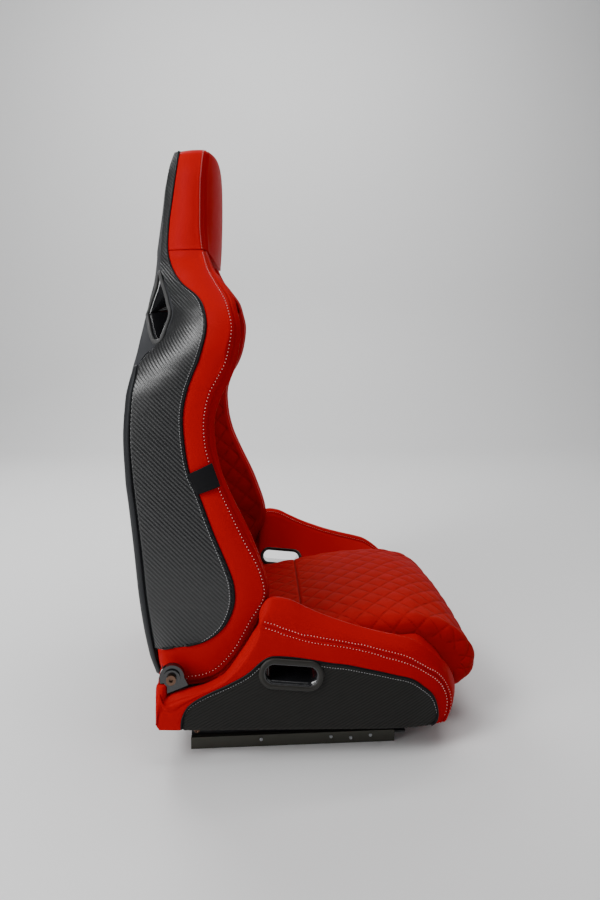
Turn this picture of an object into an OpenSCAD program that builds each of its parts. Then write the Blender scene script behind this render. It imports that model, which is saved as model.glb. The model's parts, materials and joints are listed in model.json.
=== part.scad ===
// Reclining sports seat on floor slider rails.
// X points forward, Y to the seat's left, Z up. The origin is the centre of the floor bolt pattern.

/* [Seat back] */
// Thickness of the moulded rear shell
shell_t = 3.5; // [2.5:0.5:4]
// Depth of the hollow behind the back foam
back_hollow = 42; // [41:1:44]
// Top of the wings, where the headrest pad starts
neck_z = 776; // [770:1:780]

/* [Base] */
// Half of the width over the base bolsters
base_half_w = 268; // [266:1:270]
// Half of the width of the seat cushion insert
cushion_half_w = 178; // [174:1:179]
// Underside of the upholstered base
base_z = 58; // [57:0.5:60]
// Underside of the cushion foam
foam_z = 118; // [116:1:120]

/* [Hinge] */
// Hinge axis, forward of the origin
pivot_x = -189; // [-190:1:-188]
// Hinge axis height
pivot_z = 133; // [132:1:134]
// Radius of the hinge bolts
pivot_r = 5; // [4:0.5:6]

/* [Slider rails] */
// Distance of each rail from the middle of the seat
rail_y = 200; // [195:1:200]
// Length of the lower rails
rail_len = 326; // [320:2:330]
// Outer width of the lower rails
rail_w = 44; // [42:1:46]
// Outer height of the lower rails
rail_h = 18; // [17:1:19]
// Half of the distance between the front and rear floor bolts
floor_bolt_x = 140; // [130:5:145]
// Radius of the floor bolt holes
floor_hole_r = 4.25; // [4:0.25:5]

/* [Harness openings] */
// Middle of each shoulder opening, sideways
shoulder_slot_y = 150; // [149:1:151]
// Middle of each shoulder opening, height
shoulder_slot_z = 699; // [698:1:700]
// Middle of each lap opening, fore and aft
lap_slot_x = -6; // [-8:1:-4]
// Middle of each lap opening, height at the outer face
lap_slot_z = 136; // [135:1:137]

/* [Hidden] */
$fn = 40;

seat_red = [0.62, 0.05, 0.04];
weave_grey = [0.12, 0.12, 0.13];
plastic_black = [0.03, 0.03, 0.03];
steel_black = [0.07, 0.07, 0.08];
steel_bright = [0.55, 0.55, 0.58];

gap = 0.3;            // clearance between soft pieces that touch on the real seat
top_z = 982;          // top of the headrest
shell_bottom_z = 113;
panel_t = 3;          // thickness of the woven side panels

// Design curves of the seat back: height, then depth (x) or half width (y).
rear_x = [[112, -222], [145, -231], [250, -245], [320, -252], [390, -260], [430, -265], [500, -268],
          [560, -263], [620, -254], [700, -242], [800, -236], [914, -220], [982, -206]];
rear_w = [[112, 196], [150, 206], [200, 218], [250, 225], [400, 228], [560, 226], [610, 220], [650, 195],
          [700, 152], [760, 114], [800, 98], [900, 95], [982, 84]];
trim_dx = [[112, 14], [390, 14], [560, 9], [640, 12], [800, 8], [982, 6]];
weave_x = [[181, -208], [184, -160], [188, -138], [197, -115], [215, -99], [233, -93], [253, -92],
           [277, -97], [344, -124], [410, -150], [442, -164], [481, -171], [522, -175], [567, -169],
           [594, -160], [624, -148], [655, -139], [675, -137], [696, -142], [718, -155], [741, -180],
           [769, -203], [798, -214], [861, -210], [903, -205], [982, -197]];
seam_x = [[128, -170], [137, -158], [147, -135], [165, -110], [190, -90], [222, -66], [240, -52],
          [252, -46], [272, -48], [302, -60], [335, -77], [394, -106], [430, -122], [464, -134],
          [500, -141], [531, -141], [553, -137], [574, -128], [622, -106], [642, -100], [671, -98],
          [694, -103], [718, -112], [745, -129], [768, -142], [788, -151], [808, -157], [904, -157],
          [949, -155], [982, -152]];
ridge_x = [[128, -164], [131, -150], [142, -127], [160, -104], [185, -82], [219, -59], [236, -46],
           [256, -39], [280, -43], [306, -55], [341, -70], [378, -87], [420, -105], [441, -114],
           [480, -123], [507, -126], [532, -124], [557, -117], [586, -100], [623, -88], [665, -84],
           [712, -95], [745, -115], [767, -131], [790, -144], [817, -149], [941, -149], [982, -150]];
ridge_w = [[128, 224], [300, 226], [500, 231], [600, 236], [665, 240], [712, 214], [745, 184],
           [770, 150], [800, 118], [930, 114], [982, 98]];
outer_w = [[128, 237], [160, 240], [200, 245], [250, 250], [300, 252], [400, 250], [500, 248],
           [600, 255], [640, 261], [670, 257], [695, 245], [720, 222], [745, 194], [770, 164],
           [790, 146], [810, 138], [860, 134], [930, 130], [982, 112]];
pad_x = [[130, -150], [200, -158], [300, -168], [400, -178], [500, -184], [600, -183], [700, -174],
         [740, -166], [776, -150], [800, -136], [830, -130], [880, -128], [940, -132], [982, -150]];
valley_w = [[130, 172], [300, 170], [400, 168], [600, 164], [700, 148], [740, 126], [776, 96]];

back_levels = [131, 145, 165, 190, 220, 250, 280, 320, 360, 400, 450, 500, 540, 580, 620, 650, 680, 710,
               740, neck_z - gap];
head_levels = [neck_z, 800, 830, 870, 920, 944, 946, 970, top_z];
shell_levels = [shell_bottom_z, 145, 200, 250, 320, 400, 500, 560, 610, 650, 700, 760, 800, 860, 920, 960, top_z - 2];
panel_levels = [182, 186, 192, 202, 220, 250, 290, 340, 400, 450, 500, 550, 600, 640, 675, 700, 725, 750,
                775, 800, 860, 920, 978];

// Design curves of the base: position along x, then height.
ridge_z = [[-163, 122], [-150, 127], [-127, 138], [-104, 155], [-82, 180], [-59, 213], [-48, 229],
           [-38, 249], [-13, 244], [13, 233], [40, 220], [67, 210], [97, 200], [133, 190], [166, 182],
           [186, 175], [208, 162], [229, 145], [245, 128], [254, 112], [258, 96]];
bolster_out = [[-163, base_half_w - 3], [120, base_half_w - 3], [180, base_half_w - 6],
               [222, base_half_w - 14], [245, base_half_w - 24], [258, base_half_w - 32]];
cushion_top = [[-142, 138], [-90, 142], [-25, 150], [30, 160], [98, 171], [160, 176], [207, 177], [239, 173],
               [270, 163], [291, 145], [303, 128], [312, 108]];
weave_top = [[-168, 78], [-160, 93], [-134, 109], [-108, 120], [-81, 133], [-54, 153], [-43, 161],
             [-30, 164], [6, 161], [53, 151], [93, 144], [131, 136], [162, 127], [179, 119], [201, 104],
             [216, 87], [222, 72]];

function at(curve, k) = lookup(k, curve);
function mix(a, b, t) = a + (b - a) * t;

module sided(side) {
    if (side > 0) children();
    else mirror([0, 1, 0]) children();
}

// A closed solid through rings of equal length, each ring star shaped about its first point.
module loft(rings) {
    n = len(rings[0]);
    m = len(rings);
    points = [for (r = rings) for (p = r) p];
    sides = [for (i = [0 : m - 2]) for (j = [0 : n - 1]) let (a = i * n + j, b = i * n + (j + 1) % n)
             each [[a, b, a + n], [b, b + n, a + n]]];
    caps = [for (j = [1 : n - 2]) each [[0, j + 1, j],
            [(m - 1) * n, (m - 1) * n + j, (m - 1) * n + j + 1]]];
    polyhedron(points = points, faces = concat(sides, caps), convexity = 8);
}

// A closed sheet between two lists of rows of points, one for each face.
module sheet(front, back) {
    m = len(front);
    n = len(front[0]);
    k = m * n;
    points = concat([for (r = front) for (p = r) p], [for (r = back) for (p = r) p]);
    function quad(a, b, c, d) = [[a, b, c], [a, c, d]];
    faces = concat(
        [for (i = [0 : m - 2]) for (j = [0 : n - 2]) let (a = i * n + j) each quad(a, a + 1, a + n + 1, a + n)],
        [for (i = [0 : m - 2]) for (j = [0 : n - 2]) let (a = k + i * n + j)
         each quad(a, a + n, a + n + 1, a + 1)],
        [for (j = [0 : n - 2]) each quad(j, k + j, k + j + 1, j + 1)],
        [for (j = [0 : n - 2]) let (a = (m - 1) * n + j) each quad(a, a + 1, k + a + 1, k + a)],
        [for (i = [0 : m - 2]) let (a = i * n) each quad(a, a + n, k + a + n, k + a)],
        [for (i = [0 : m - 2]) let (a = i * n + n - 1) each quad(a, k + a, k + a + n, a + n)]);
    polyhedron(points = points, faces = faces, convexity = 10);
}

// A round bar from p to q.
module bar(p, q, r) {
    d = q - p;
    translate(p)
        rotate([0, acos(d[2] / norm(d)), atan2(d[1], d[0])])
            cylinder(r = r, h = norm(d));
}

// A bar along a path, bent to a radius at each inner point; side_dir is never along the path.
module bent_bar(path, r, bend, side_dir) {
    sides = 16;
    steps = 4;
    n = len(path);
    way = [for (i = [0 : n - 2]) (path[i + 1] - path[i]) / norm(path[i + 1] - path[i])];
    function turned(i, t) = let (q = mix(way[i - 1], way[i], t)) q / norm(q);
    function arc(i) = let (s = bend * tan(acos(way[i - 1] * way[i]) / 2),
                           p = path[i] - way[i - 1] * s, q = path[i] + way[i] * s)
        [for (k = [0 : steps]) let (t = k / steps)
         [mix(mix(p, path[i], t), mix(path[i], q, t), t), turned(i, t)]];
    spine = concat([[path[0], way[0]]], [for (i = [1 : n - 2]) each arc(i)], [[path[n - 1], way[n - 2]]]);
    function ring(c, d) = let (u = cross(side_dir, d) / norm(cross(side_dir, d)), v = cross(d, u))
        [for (k = [0 : sides - 1]) c + r * cos(-k * 360 / sides) * u + r * sin(-k * 360 / sides) * v];
    loft([for (f = spine) ring(f[0], f[1])]);
}

// A round hole or disc whose axis is along Y.
module disc_y(x, z, r, y0, y1) {
    translate([x, y1, z]) rotate([90, 0, 0]) cylinder(r = r, h = y1 - y0);
}

// A flat plate of an outline in X and Z, from y0 to y1.
module plate_y(outline, y0, y1) {
    translate([0, y1, 0]) rotate([90, 0, 0]) linear_extrude(height = y1 - y0) polygon(outline);
}

// ---- openings ----

// The rounded diamond of a shoulder opening, in Y and Z, grown by extra.
module shoulder_outline(extra) {
    corner_r = 12;
    reach = [[52, -2], [10, 49], [-52, 10], [2, -47]];
    hull()
        for (c = reach)
            translate([c[0] - sign(c[0]) * (abs(c[0]) > 20 ? corner_r : 0),
                       c[1] - sign(c[1]) * (abs(c[1]) > 20 ? corner_r : 0)])
                circle(r = corner_r + extra, $fn = 24);
}

module shoulder_prism(extra, x0, x1) {
    translate([x0, shoulder_slot_y, shoulder_slot_z])
        rotate([90, 0, 90])
            linear_extrude(height = x1 - x0) shoulder_outline(extra);
}

lap_half_len = 39;    // half length of a lap opening
lap_half_h = 17;      // half height of a lap opening
lap_tilt = 6;         // nose-down tilt of a lap opening
lap_rise = 21;        // upward slant of a lap opening as it goes inward

module lap_oval(extra) {
    union() {
        for (e = [-1, 1]) translate([e * (lap_half_len - lap_half_h), 0]) circle(r = lap_half_h + extra);
        square([2 * (lap_half_len - lap_half_h), 2 * (lap_half_h + extra)], center = true);
    }
}

// The oval of a lap opening, grown by extra, from depth y0 to y1 inward, rising by slant degrees.
module lap_prism(extra, y0, y1, slant = lap_rise) {
    translate([lap_slot_x, base_half_w, lap_slot_z])
        rotate([-slant, lap_tilt, 0])
            rotate([90, 0, 0])
                translate([0, 0, y0])
                    linear_extrude(height = y1 - y0) lap_oval(extra);
}

// ---- slider rails ----

rail_t = 2.5;         // steel thickness of the rails
upper_w = 26;         // width of the upper rail
upper_top = 40;       // top of the upper rail
upper_front = 182;    // front end of the upper rail
upper_rear = -163;    // rear end of the upper rail
roller_r = 4;
bolt_x = 140;         // half of the distance between the bolts of a mounting bar
bolt_r = 4;
bolt_hole_r = 4.1;

module lower_rail() {
    lip = 7;
    difference() {
        translate([-rail_len / 2, rail_y - rail_w / 2, 0])
            rotate([90, 0, 90])
                linear_extrude(height = rail_len)
                    polygon([[0, 0], [rail_w, 0], [rail_w, rail_h], [rail_w - lip, rail_h],
                             [rail_w - lip, rail_h - rail_t], [rail_w - rail_t, rail_h - rail_t],
                             [rail_w - rail_t, rail_t], [rail_t, rail_t], [rail_t, rail_h - rail_t],
                             [lip, rail_h - rail_t], [lip, rail_h], [0, rail_h]]);
        for (x = [-floor_bolt_x, floor_bolt_x])
            translate([x, rail_y, -1]) cylinder(r = floor_hole_r, h = rail_t + 2);
    }
}

module lower_rail_right() { color(steel_bright) sided(-1) lower_rail(); }
module lower_rail_left() { color(steel_bright) sided(1) lower_rail(); }

// Rollers run between the floor of the lower rail and the foot of the upper rail.
module rail_rollers() {
    color(steel_bright)
        for (side = [-1, 1]) sided(side)
            for (x = [-110, -40, 40, 110])
                disc_y(x, rail_t + roller_r + 0.1, roller_r, rail_y - 9, rail_y + 9);
}

module rail_end_stops() {
    color(plastic_black)
        for (side = [-1, 1]) sided(side)
            for (x = [-rail_len / 2 + gap, rail_len / 2 - 6 - gap])
                translate([x, rail_y - 14, rail_t + gap]) cube([6, 28, 6]);
}

module upper_rail() {
    foot_z = rail_t + 2 * roller_r + 0.3;
    foot_w = 34;
    upper_len = upper_front - upper_rear;
    union() {
        translate([upper_rear, rail_y - foot_w / 2, foot_z]) cube([upper_len, foot_w, rail_t]);
        for (y = [-upper_w / 2, upper_w / 2 - rail_t])
            translate([upper_rear, rail_y + y, foot_z]) cube([upper_len, rail_t, upper_top - foot_z]);
        difference() {
            translate([upper_rear, rail_y - upper_w / 2, upper_top - rail_t])
                cube([upper_len, upper_w, rail_t]);
            for (x = [-bolt_x, bolt_x])
                translate([x, rail_y, upper_top - rail_t - 1]) cylinder(r = bolt_hole_r, h = rail_t + 2);
        }
    }
}

module upper_rail_right() { color(steel_black) sided(-1) upper_rail(); }
module upper_rail_left() { color(steel_black) sided(1) upper_rail(); }

bar_z = 54;           // underside of the mounting bars
bar_h = 4;
bar_w = 32;           // width of the mounting bars
spacer_r = 9;

// Each bolt is one solid of head and shank; a spacer ring sits between the rail and the bar.
module rail_bolts() {
    head_h = 5;
    head_z = upper_top - rail_t - head_h;
    color(steel_bright)
        for (side = [-1, 1]) sided(side)
            for (x = [-bolt_x, bolt_x]) {
                translate([x, rail_y, head_z]) {
                    cylinder(r = 6.5, h = head_h, $fn = 6);
                    cylinder(r = bolt_r, h = bar_z + bar_h + 1 - head_z);
                }
                translate([x, rail_y, upper_top]) difference() {
                    cylinder(r = spacer_r, h = bar_z - upper_top);
                    translate([0, 0, -1]) cylinder(r = bolt_hole_r, h = bar_z - upper_top + 2);
                }
            }
}

// ---- base frame ----

plate_y0 = 224;       // inner face of the side plates
plate_t = 4;

module mounting_bars() {
    color(steel_black)
        for (x = [-bolt_x, bolt_x])
            difference() {
                translate([x - bar_w / 2, -plate_y0 - plate_t, bar_z])
                    cube([bar_w, 2 * (plate_y0 + plate_t), bar_h]);
                for (y = [-rail_y, rail_y]) translate([x, y, bar_z - 1]) cylinder(r = bolt_hole_r, h = bar_h + 2);
            }
}

ear_r = 19;           // radius of the hinge ears

module base_side_plate() {
    difference() {
        union() {
            plate_y([[-206, 58], [210, 58], [222, 70], [222, 92], [190, 114], [-120, 114], [-155, 106],
                     [pivot_x + ear_r, 112], [pivot_x + ear_r, pivot_z], [pivot_x - ear_r, pivot_z],
                     [pivot_x - ear_r, 100]], plate_y0, plate_y0 + plate_t);
            disc_y(pivot_x, pivot_z, ear_r, plate_y0, plate_y0 + plate_t);
        }
        disc_y(pivot_x, pivot_z, pivot_r, plate_y0 - 1, plate_y0 + plate_t + 1);
    }
}

module base_side_plate_right() { color(steel_black) sided(-1) base_side_plate(); }
module base_side_plate_left() { color(steel_black) sided(1) base_side_plate(); }

module base_cross_tubes() {
    cross_tube_r = 12.5;
    cross_tube_t = 2;
    color(steel_black)
        for (p = [[-150, 78], [200, 82]])
            difference() {
                disc_y(p[0], p[1], cross_tube_r, -plate_y0, plate_y0);
                disc_y(p[0], p[1], cross_tube_r - cross_tube_t, -plate_y0 - 1, plate_y0 + 1);
            }
}

module cushion_support_wires() {
    wire_r = 2;
    long_z = foam_z - gap - wire_r;
    cross_z = long_z - 2 * wire_r - 0.1;
    color(steel_bright) {
        for (x = [-100 : 50 : 150])
            bar([x, -plate_y0, cross_z], [x, plate_y0, cross_z], wire_r);
        for (y = [-120, 0, 120])
            bar([-110, y, long_z], [160, y, long_z], wire_r);
    }
}

// ---- base upholstery ----

crown = 7;            // how far the middle of the cushion stands above its sides

module cushion_insert() {
    function lift(y) = crown * (1 - pow(y / cushion_half_w, 2));
    function ring(y) = concat(
        [[200, y, foam_z]], [[-142, y, foam_z]],
        [for (p = cushion_top) [p[0], y, p[1] + lift(y)]],
        [[314 + lift(y) / 3, y, 98], [306, y, 80], [293, y, 65], [280, y, base_z], [240, y, base_z],
         [236, y, foam_z - 8]]);
    color(seat_red)
        loft([for (t = [-1, -0.75, -0.4, 0, 0.4, 0.75, 1]) ring(-t * cushion_half_w)]);
}

inner_w = cushion_half_w + gap;     // inner face of a thigh bolster
leg_w = plate_y0 + plate_t + gap;   // inner face of the part outside the side plate

module bolster_body(grow) {
    function ring(x) = let (zt = at(ridge_z, x), out = at(bolster_out, x),
                            zi = min(zt - 4, at(cushion_top, max(x, -140)) + 6),
                            zf = min(foam_z, zt - 12))
        [[x, leg_w, zf], [x, leg_w, base_z], [x, out - 4, base_z], [x, out, base_z + 16],
         [x, out - 1, mix(base_z, zt, 0.75)], [x, min(249, out - 8), zt],
         [x, 222 - grow, zt - 8], [x, inner_w + 14 - grow, mix(zi, zt, 0.25)], [x, inner_w, zi],
         [x, inner_w, zf]];
    loft([for (i = [len(ridge_z) - 1 : -1 : 0]) ring(ridge_z[i][0])]);
}

module thigh_bolster() {
    difference() {
        bolster_body(0);
        lap_prism(3 + gap, -20, 120);
    }
}

module thigh_bolster_right() { color(seat_red) sided(-1) thigh_bolster(); }
module thigh_bolster_left() { color(seat_red) sided(1) thigh_bolster(); }

module base_side_panel() {
    function row(x, off) = [for (t = [0, 0.5, 1]) [x, at(bolster_out, x) + off, mix(base_z + 3, at(weave_top, x), t)]];
    difference() {
        sheet([for (p = weave_top) row(p[0], gap)], [for (p = weave_top) row(p[0], 2.8)]);
        lap_prism(3 + gap, -20, 30);
    }
}

module base_side_panel_right() { color(weave_grey) sided(-1) base_side_panel(); }
module base_side_panel_left() { color(weave_grey) sided(1) base_side_panel(); }

// The wrapped rear end of the base: a low wall, and a flap each side that stands up behind the hinge.
module base_rear_cover() {
    wall_top = 84;
    flap_y = 244;
    color(seat_red)
        union() {
            plate_y([[-207.3, base_z], [-211, base_z + 2], [-212, 64], [-212, wall_top - 4], [-208, wall_top],
                     [-207.3, wall_top - 6]], -base_half_w + 3, base_half_w - 3);
            for (side = [-1, 1]) sided(side)
                plate_y([[-207, base_z], [-163 - gap, base_z], [-163 - gap, 119], [-203, 104], [-206, 122],
                         [-210, 122], [-212, 114], [-212, 66]], flap_y, base_half_w - 3);
        }
}

// An oval ring with a flange on the outside, and a sleeve that lines the opening.
module lap_bezel() {
    difference() {
        union() {
            intersection() {
                lap_prism(3, 2, 110);
                bolster_body(1.5);
            }
            lap_prism(3, -2, 14);
            lap_prism(12, -3, -gap / 2, 0);
        }
        lap_prism(0, -20, 120);
    }
}

module lap_bezel_right() { color(plastic_black) sided(-1) lap_bezel(); }
module lap_bezel_left() { color(plastic_black) sided(1) lap_bezel(); }

// ---- hinge and recliner ----

arm_y0 = 216.1;       // inner face of the hinge arms
arm_t = 4;
bush_r = 7.5;
run_gap = 0.05;       // clearance of a turning bore

module hinge_arm() {
    difference() {
        union() {
            plate_y([[pivot_x - ear_r, pivot_z], [pivot_x + ear_r, pivot_z], [-196, 175], [-207, 290], [-229, 290],
                     [-217, 175]], arm_y0, arm_y0 + arm_t);
            disc_y(pivot_x, pivot_z, ear_r, arm_y0, arm_y0 + arm_t);
        }
        disc_y(pivot_x, pivot_z, bush_r, arm_y0 - 1, arm_y0 + arm_t + 1);
    }
}

module hinge_arm_right() { color(steel_black) sided(-1) hinge_arm(); }
module hinge_arm_left() { color(steel_black) sided(1) hinge_arm(); }

module pivot_bush() {
    difference() {
        disc_y(pivot_x, pivot_z, bush_r, arm_y0, plate_y0 - gap);
        disc_y(pivot_x, pivot_z, pivot_r + run_gap, arm_y0 - 1, plate_y0 + 1);
    }
}

module pivot_bush_right() { color(steel_bright) sided(-1) pivot_bush(); }
module pivot_bush_left() { color(steel_bright) sided(1) pivot_bush(); }

module pivot_bolt(head_y) {
    inner_y = 206;
    collar_r = 9;
    head_r = 7.5;
    head_h = 5;
    socket_r = 3.5;
    union() {
        disc_y(pivot_x, pivot_z, pivot_r, inner_y, head_y);
        disc_y(pivot_x, pivot_z, collar_r, inner_y, arm_y0 - gap);
        difference() {
            disc_y(pivot_x, pivot_z, head_r, head_y, head_y + head_h);
            translate([pivot_x, head_y + head_h + 1, pivot_z])
                rotate([90, 0, 0]) cylinder(r = socket_r, h = 4, $fn = 6);
        }
    }
}

cover_y0 = 249;
cover_y1 = 261;
hub_y0 = 244;         // inner face of the recline lever's hub
hub_y1 = 257;         // outer face of the recline lever's hub
module pivot_bolt_right() { color(steel_bright) sided(-1) pivot_bolt(cover_y1); }
module pivot_bolt_left() { color(steel_bright) sided(1) pivot_bolt(hub_y1 + 2.6); }

// The moulded cap over the right hinge, seated in the slit of the base upholstery.
module pivot_cover_right() {
    cap_r = 19;
    color(plastic_black)
        sided(-1)
            difference() {
                union() {
                    disc_y(pivot_x, pivot_z, cap_r, cover_y0, cover_y1 - 3);
                    plate_y([[pivot_x - 13, pivot_z], [pivot_x + cap_r, pivot_z], [pivot_x + 25, 121],
                             [pivot_x - 12, 107.5]], cover_y0, cover_y1 - 3);
                    disc_y(pivot_x, pivot_z, 13, cover_y1 - 3, cover_y1);
                }
                disc_y(pivot_x, pivot_z, pivot_r + 0.2, cover_y0 - 1, cover_y1 + 1);
            }
}

module recliner_housing() {
    color(steel_black)
        difference() {
            union() {
                disc_y(pivot_x, pivot_z, 30, plate_y0 + plate_t, 232);
                disc_y(pivot_x, pivot_z, 16, 232, 243);
            }
            disc_y(pivot_x, pivot_z, pivot_r, plate_y0, 244);
        }
}

// A flat spiral that lifts the back forward, wound round a fixed post of the left hinge.
module recliner_spring() {
    turns = 3;
    step = 12;
    function spiral(r0, a) = (r0 + 3.6 * a / 360) * [cos(a), sin(a)];
    outline = concat([for (a = [0 : step : 360 * turns]) spiral(11, a)],
                     [for (a = [360 * turns : -step : 0]) spiral(13, a)]);
    color(steel_bright)
        translate([pivot_x, 214, pivot_z]) rotate([90, 0, 0]) linear_extrude(height = 7) polygon(outline);
}

// ---- back frame ----

tube_r = 11;
upright_y = 205;
neck_y = 72;

module back_frame() {
    half = [[-206, upright_y, 170], [-243, upright_y, 520], [-236, 168, 598], [-228, neck_y, 672],
            [-214, neck_y, 800], [-193, neck_y, 925]];
    right = [for (i = [len(half) - 1 : -1 : 0]) [half[i][0], -half[i][1], half[i][2]]];
    color(steel_black) bent_bar(concat(half, right), tube_r, 40, [1, 0, 0]);
}

module back_cross_bars() {
    color(steel_black)
        for (p = [[-216, 262], [-243, 512]])
            disc_y(p[0], p[1], 7, -upright_y + tube_r + 1, upright_y - tube_r - 1);
}

module back_support_wires() {
    color(steel_bright) {
        for (z = [300 : 60 : 480])
            bar([-216 - (z - 300) * 0.085, -190, z], [-216 - (z - 300) * 0.085, 190, z], 2);
        for (y = [-60, 60])
            bar([-214, y, 290], [-231, y, 490], 2);
    }
}

// ---- back upholstery ----

module back_insert() {
    function ring(z) = let (xb = at(rear_x, z) + back_hollow, w = at(valley_w, z) - gap, xp = at(pad_x, z),
                            xc = max(xp, xb + 14))
        [[xb, 0, z], [xb, w, z], [xc + 5, w, z], [xc + 2, w * 0.55, z], [xc, 0, z], [xc + 2, -w * 0.55, z],
         [xc + 5, -w, z], [xb, -w, z]];
    color(seat_red)
        difference() {
            loft([for (z = [150, 200, 260, 320, 400, 480, 560, 620, 680, 730, neck_z - gap]) ring(z)]);
            for (side = [-1, 1]) sided(side) shoulder_prism(4 + gap, -260, -80);
        }
}

skirt_y = 234;        // inner face of the cover that hangs over the hinge
hinge_room_r = 42;    // space round the hinge under that cover

module back_bolster() {
    function ring(z) = let (xb = at(rear_x, z) + back_hollow, wv = at(valley_w, z) + gap, wo = at(outer_w, z),
                            xs = max(at(seam_x, z), xb + 4), xf = max(at(ridge_x, z), xb + 8),
                            xv = max(at(pad_x, z) + 5, xb + 3), wf = at(ridge_w, z),
                            xk = max(min(at(weave_x, z), xs - 6), xb + 1))
        [[xb, wv, z], [min(xv, xf - 3), wv, z], [xf - 14 < xb + 4 ? xb + 4 : xf - 14, max(wf - 24, wv + 4), z],
         [xf, wf, z], [xs, wo - 3, z], [xk, wo - panel_t - 1.5, z],
         [xb, min(wo - panel_t - 2, at(rear_w, z) + 8), z]];
    difference() {
        union() {
            loft([for (i = [len(back_levels) - 1 : -1 : 0]) ring(back_levels[i])]);
            plate_y([[-212, 140], [-180, 136], [-150, 140], [-130, 152], [-130, 180.5], [-212, 180.5]],
                    skirt_y, skirt_y + 5);
        }
        disc_y(pivot_x, pivot_z, hinge_room_r, upright_y - 2, skirt_y);
        disc_y(pivot_x, pivot_z, ear_r + 2.5, skirt_y - 1, 300);
        shoulder_prism(4 + gap, -260, -80);
    }
}

module back_bolster_right() { color(seat_red) sided(-1) back_bolster(); }
module back_bolster_left() { color(seat_red) sided(1) back_bolster(); }

module headrest_pad() {
    function ring(z) = let (xb = at(rear_x, z) + (z > 945 ? 16 : 36), wo = at(outer_w, z), wf = at(ridge_w, z),
                            xs = at(seam_x, z), xf = at(ridge_x, z), xp = at(pad_x, z), xk = at(weave_x, z),
                            half = [[xb, wo - 22], [max(xk, xb - 3), wo - panel_t - 3], [xs, wo], [xf, wf],
                                    [mix(xf, xp, 0.8), wf * 0.5]])
        concat([[xb, 0, z]], [for (p = half) [p[0], p[1], z]], [[xp, 0, z]],
               [for (i = [len(half) - 1 : -1 : 0]) [half[i][0], -half[i][1], z]]);
    color(seat_red) loft([for (z = head_levels) ring(z)]);
}

// The moulded rear shell, with the rolled trim along each edge.
module back_shell() {
    bulge = 8;
    function half(z, t) = let (xr = at(rear_x, z), wr = at(rear_w, z))
        [[xr + at(trim_dx, z), wr + 9 - t], [xr + t * 0.7, wr - t * 0.7], [xr - bulge * 0.8 + t, wr * 0.5]];
    function row(z, t) = let (h = half(z, t))
        concat([for (i = [0 : 2]) [h[i][0], h[i][1], z]], [[at(rear_x, z) - bulge + t, 0, z]],
               [for (i = [2 : -1 : 0]) [h[i][0], -h[i][1], z]]);
    color(weave_grey)
        difference() {
            sheet([for (z = shell_levels) row(z, shell_t)], [for (z = shell_levels) row(z, 0)]);
            for (side = [-1, 1]) sided(side) shoulder_prism(4 + gap, -300, -120);
        }
}

// A woven side panel: it starts at the shell's trim and ends at the red side cover.
module back_side_panel() {
    function side(z, off) = let (xa = at(rear_x, z) + at(trim_dx, z) + 1.2, xb = max(at(weave_x, z), xa + 3),
                                 wa = at(rear_w, z) + 9, wb = at(outer_w, z))
        [for (t = [0, 0.35, 0.7, 1]) [mix(xa, xb, t), mix(wa, wb, sqrt(t) * 0.5 + t * 0.5) - off, z]];
    difference() {
        sheet([for (z = panel_levels) side(z, 0)], [for (z = panel_levels) side(z, panel_t)]);
        shoulder_prism(4 + gap, -300, -120);
    }
}

module back_side_panel_right() { color(weave_grey) sided(-1) back_side_panel(); }
module back_side_panel_left() { color(weave_grey) sided(1) back_side_panel(); }

// One half of the space inside the rear shell and the side panel, grown outward by grow.
module back_half_space(grow) {
    function ring(z) = let (xr = at(rear_x, z), wr = at(rear_w, z), xa = xr + at(trim_dx, z) + 1.2,
                            xb = max(at(weave_x, z), xa + 3), wb = at(outer_w, z), wa = wr + 9)
        [[-168, 80, z], [xr - 8 - grow, 80, z], [xr - grow * 0.7, wr + grow * 0.7, z],
         [xa - grow * 0.6, wa + grow * 0.8, z],
         [mix(xa, xb, 0.35) - grow * 0.6, mix(wa, wb, sqrt(0.35) * 0.5 + 0.175) + grow * 0.8, z],
         [mix(xa, xb, 0.7) - grow * 0.6, mix(wa, wb, sqrt(0.7) * 0.5 + 0.35) + grow * 0.8, z],
         [xb, wb + grow, z], [max(xb + 5, -120), wb - 10, z]];
    loft([for (z = [600 : 25 : 800]) ring(z)]);
}

// The moulded tunnel of a shoulder harness opening, from the rear shell to the front of the foam.
module harness_bezel() {
    difference() {
        intersection() {
            shoulder_prism(4, -262, -160);
            back_half_space(3.5);
        }
        shoulder_prism(0, -263, -100);
    }
}

module harness_bezel_right() { color(plastic_black) sided(-1) harness_bezel(); }
module harness_bezel_left() { color(plastic_black) sided(1) harness_bezel(); }

// The woven label wrapped over the red side cover.
module side_tag() {
    color(plastic_black)
        sided(-1)
            plate_y([[-163, 444], [-150, 412], [-116, 424], [-128, 458]], 250.2, 252);
}

// ---- controls ----

release_pivot_x = 120;
release_z = 31;

module release_bar() {
    inner_y = rail_y - upper_w / 2 - 8;
    path = [[release_pivot_x, inner_y, release_z], [200, inner_y, release_z], [245, inner_y - 40, release_z],
            [245, -inner_y + 40, release_z], [200, -inner_y, release_z], [release_pivot_x, -inner_y, release_z]];
    color(steel_bright)
        difference() {
            union() {
                bent_bar(path, 5, 22, [0, 0, 1]);
                for (side = [-1, 1]) sided(side)
                    disc_y(release_pivot_x, release_z, 8, inner_y - 5, inner_y + 5);
            }
            for (side = [-1, 1]) sided(side)
                disc_y(release_pivot_x, release_z, 4 + run_gap, inner_y - 6, inner_y + 6);
        }
}

// Pins on the upper rails that the release bar swings about.
module release_pivots() {
    color(steel_bright)
        for (side = [-1, 1]) sided(side)
            disc_y(release_pivot_x, release_z, 4, rail_y - upper_w / 2 - 15, rail_y - upper_w / 2);
}

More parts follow.
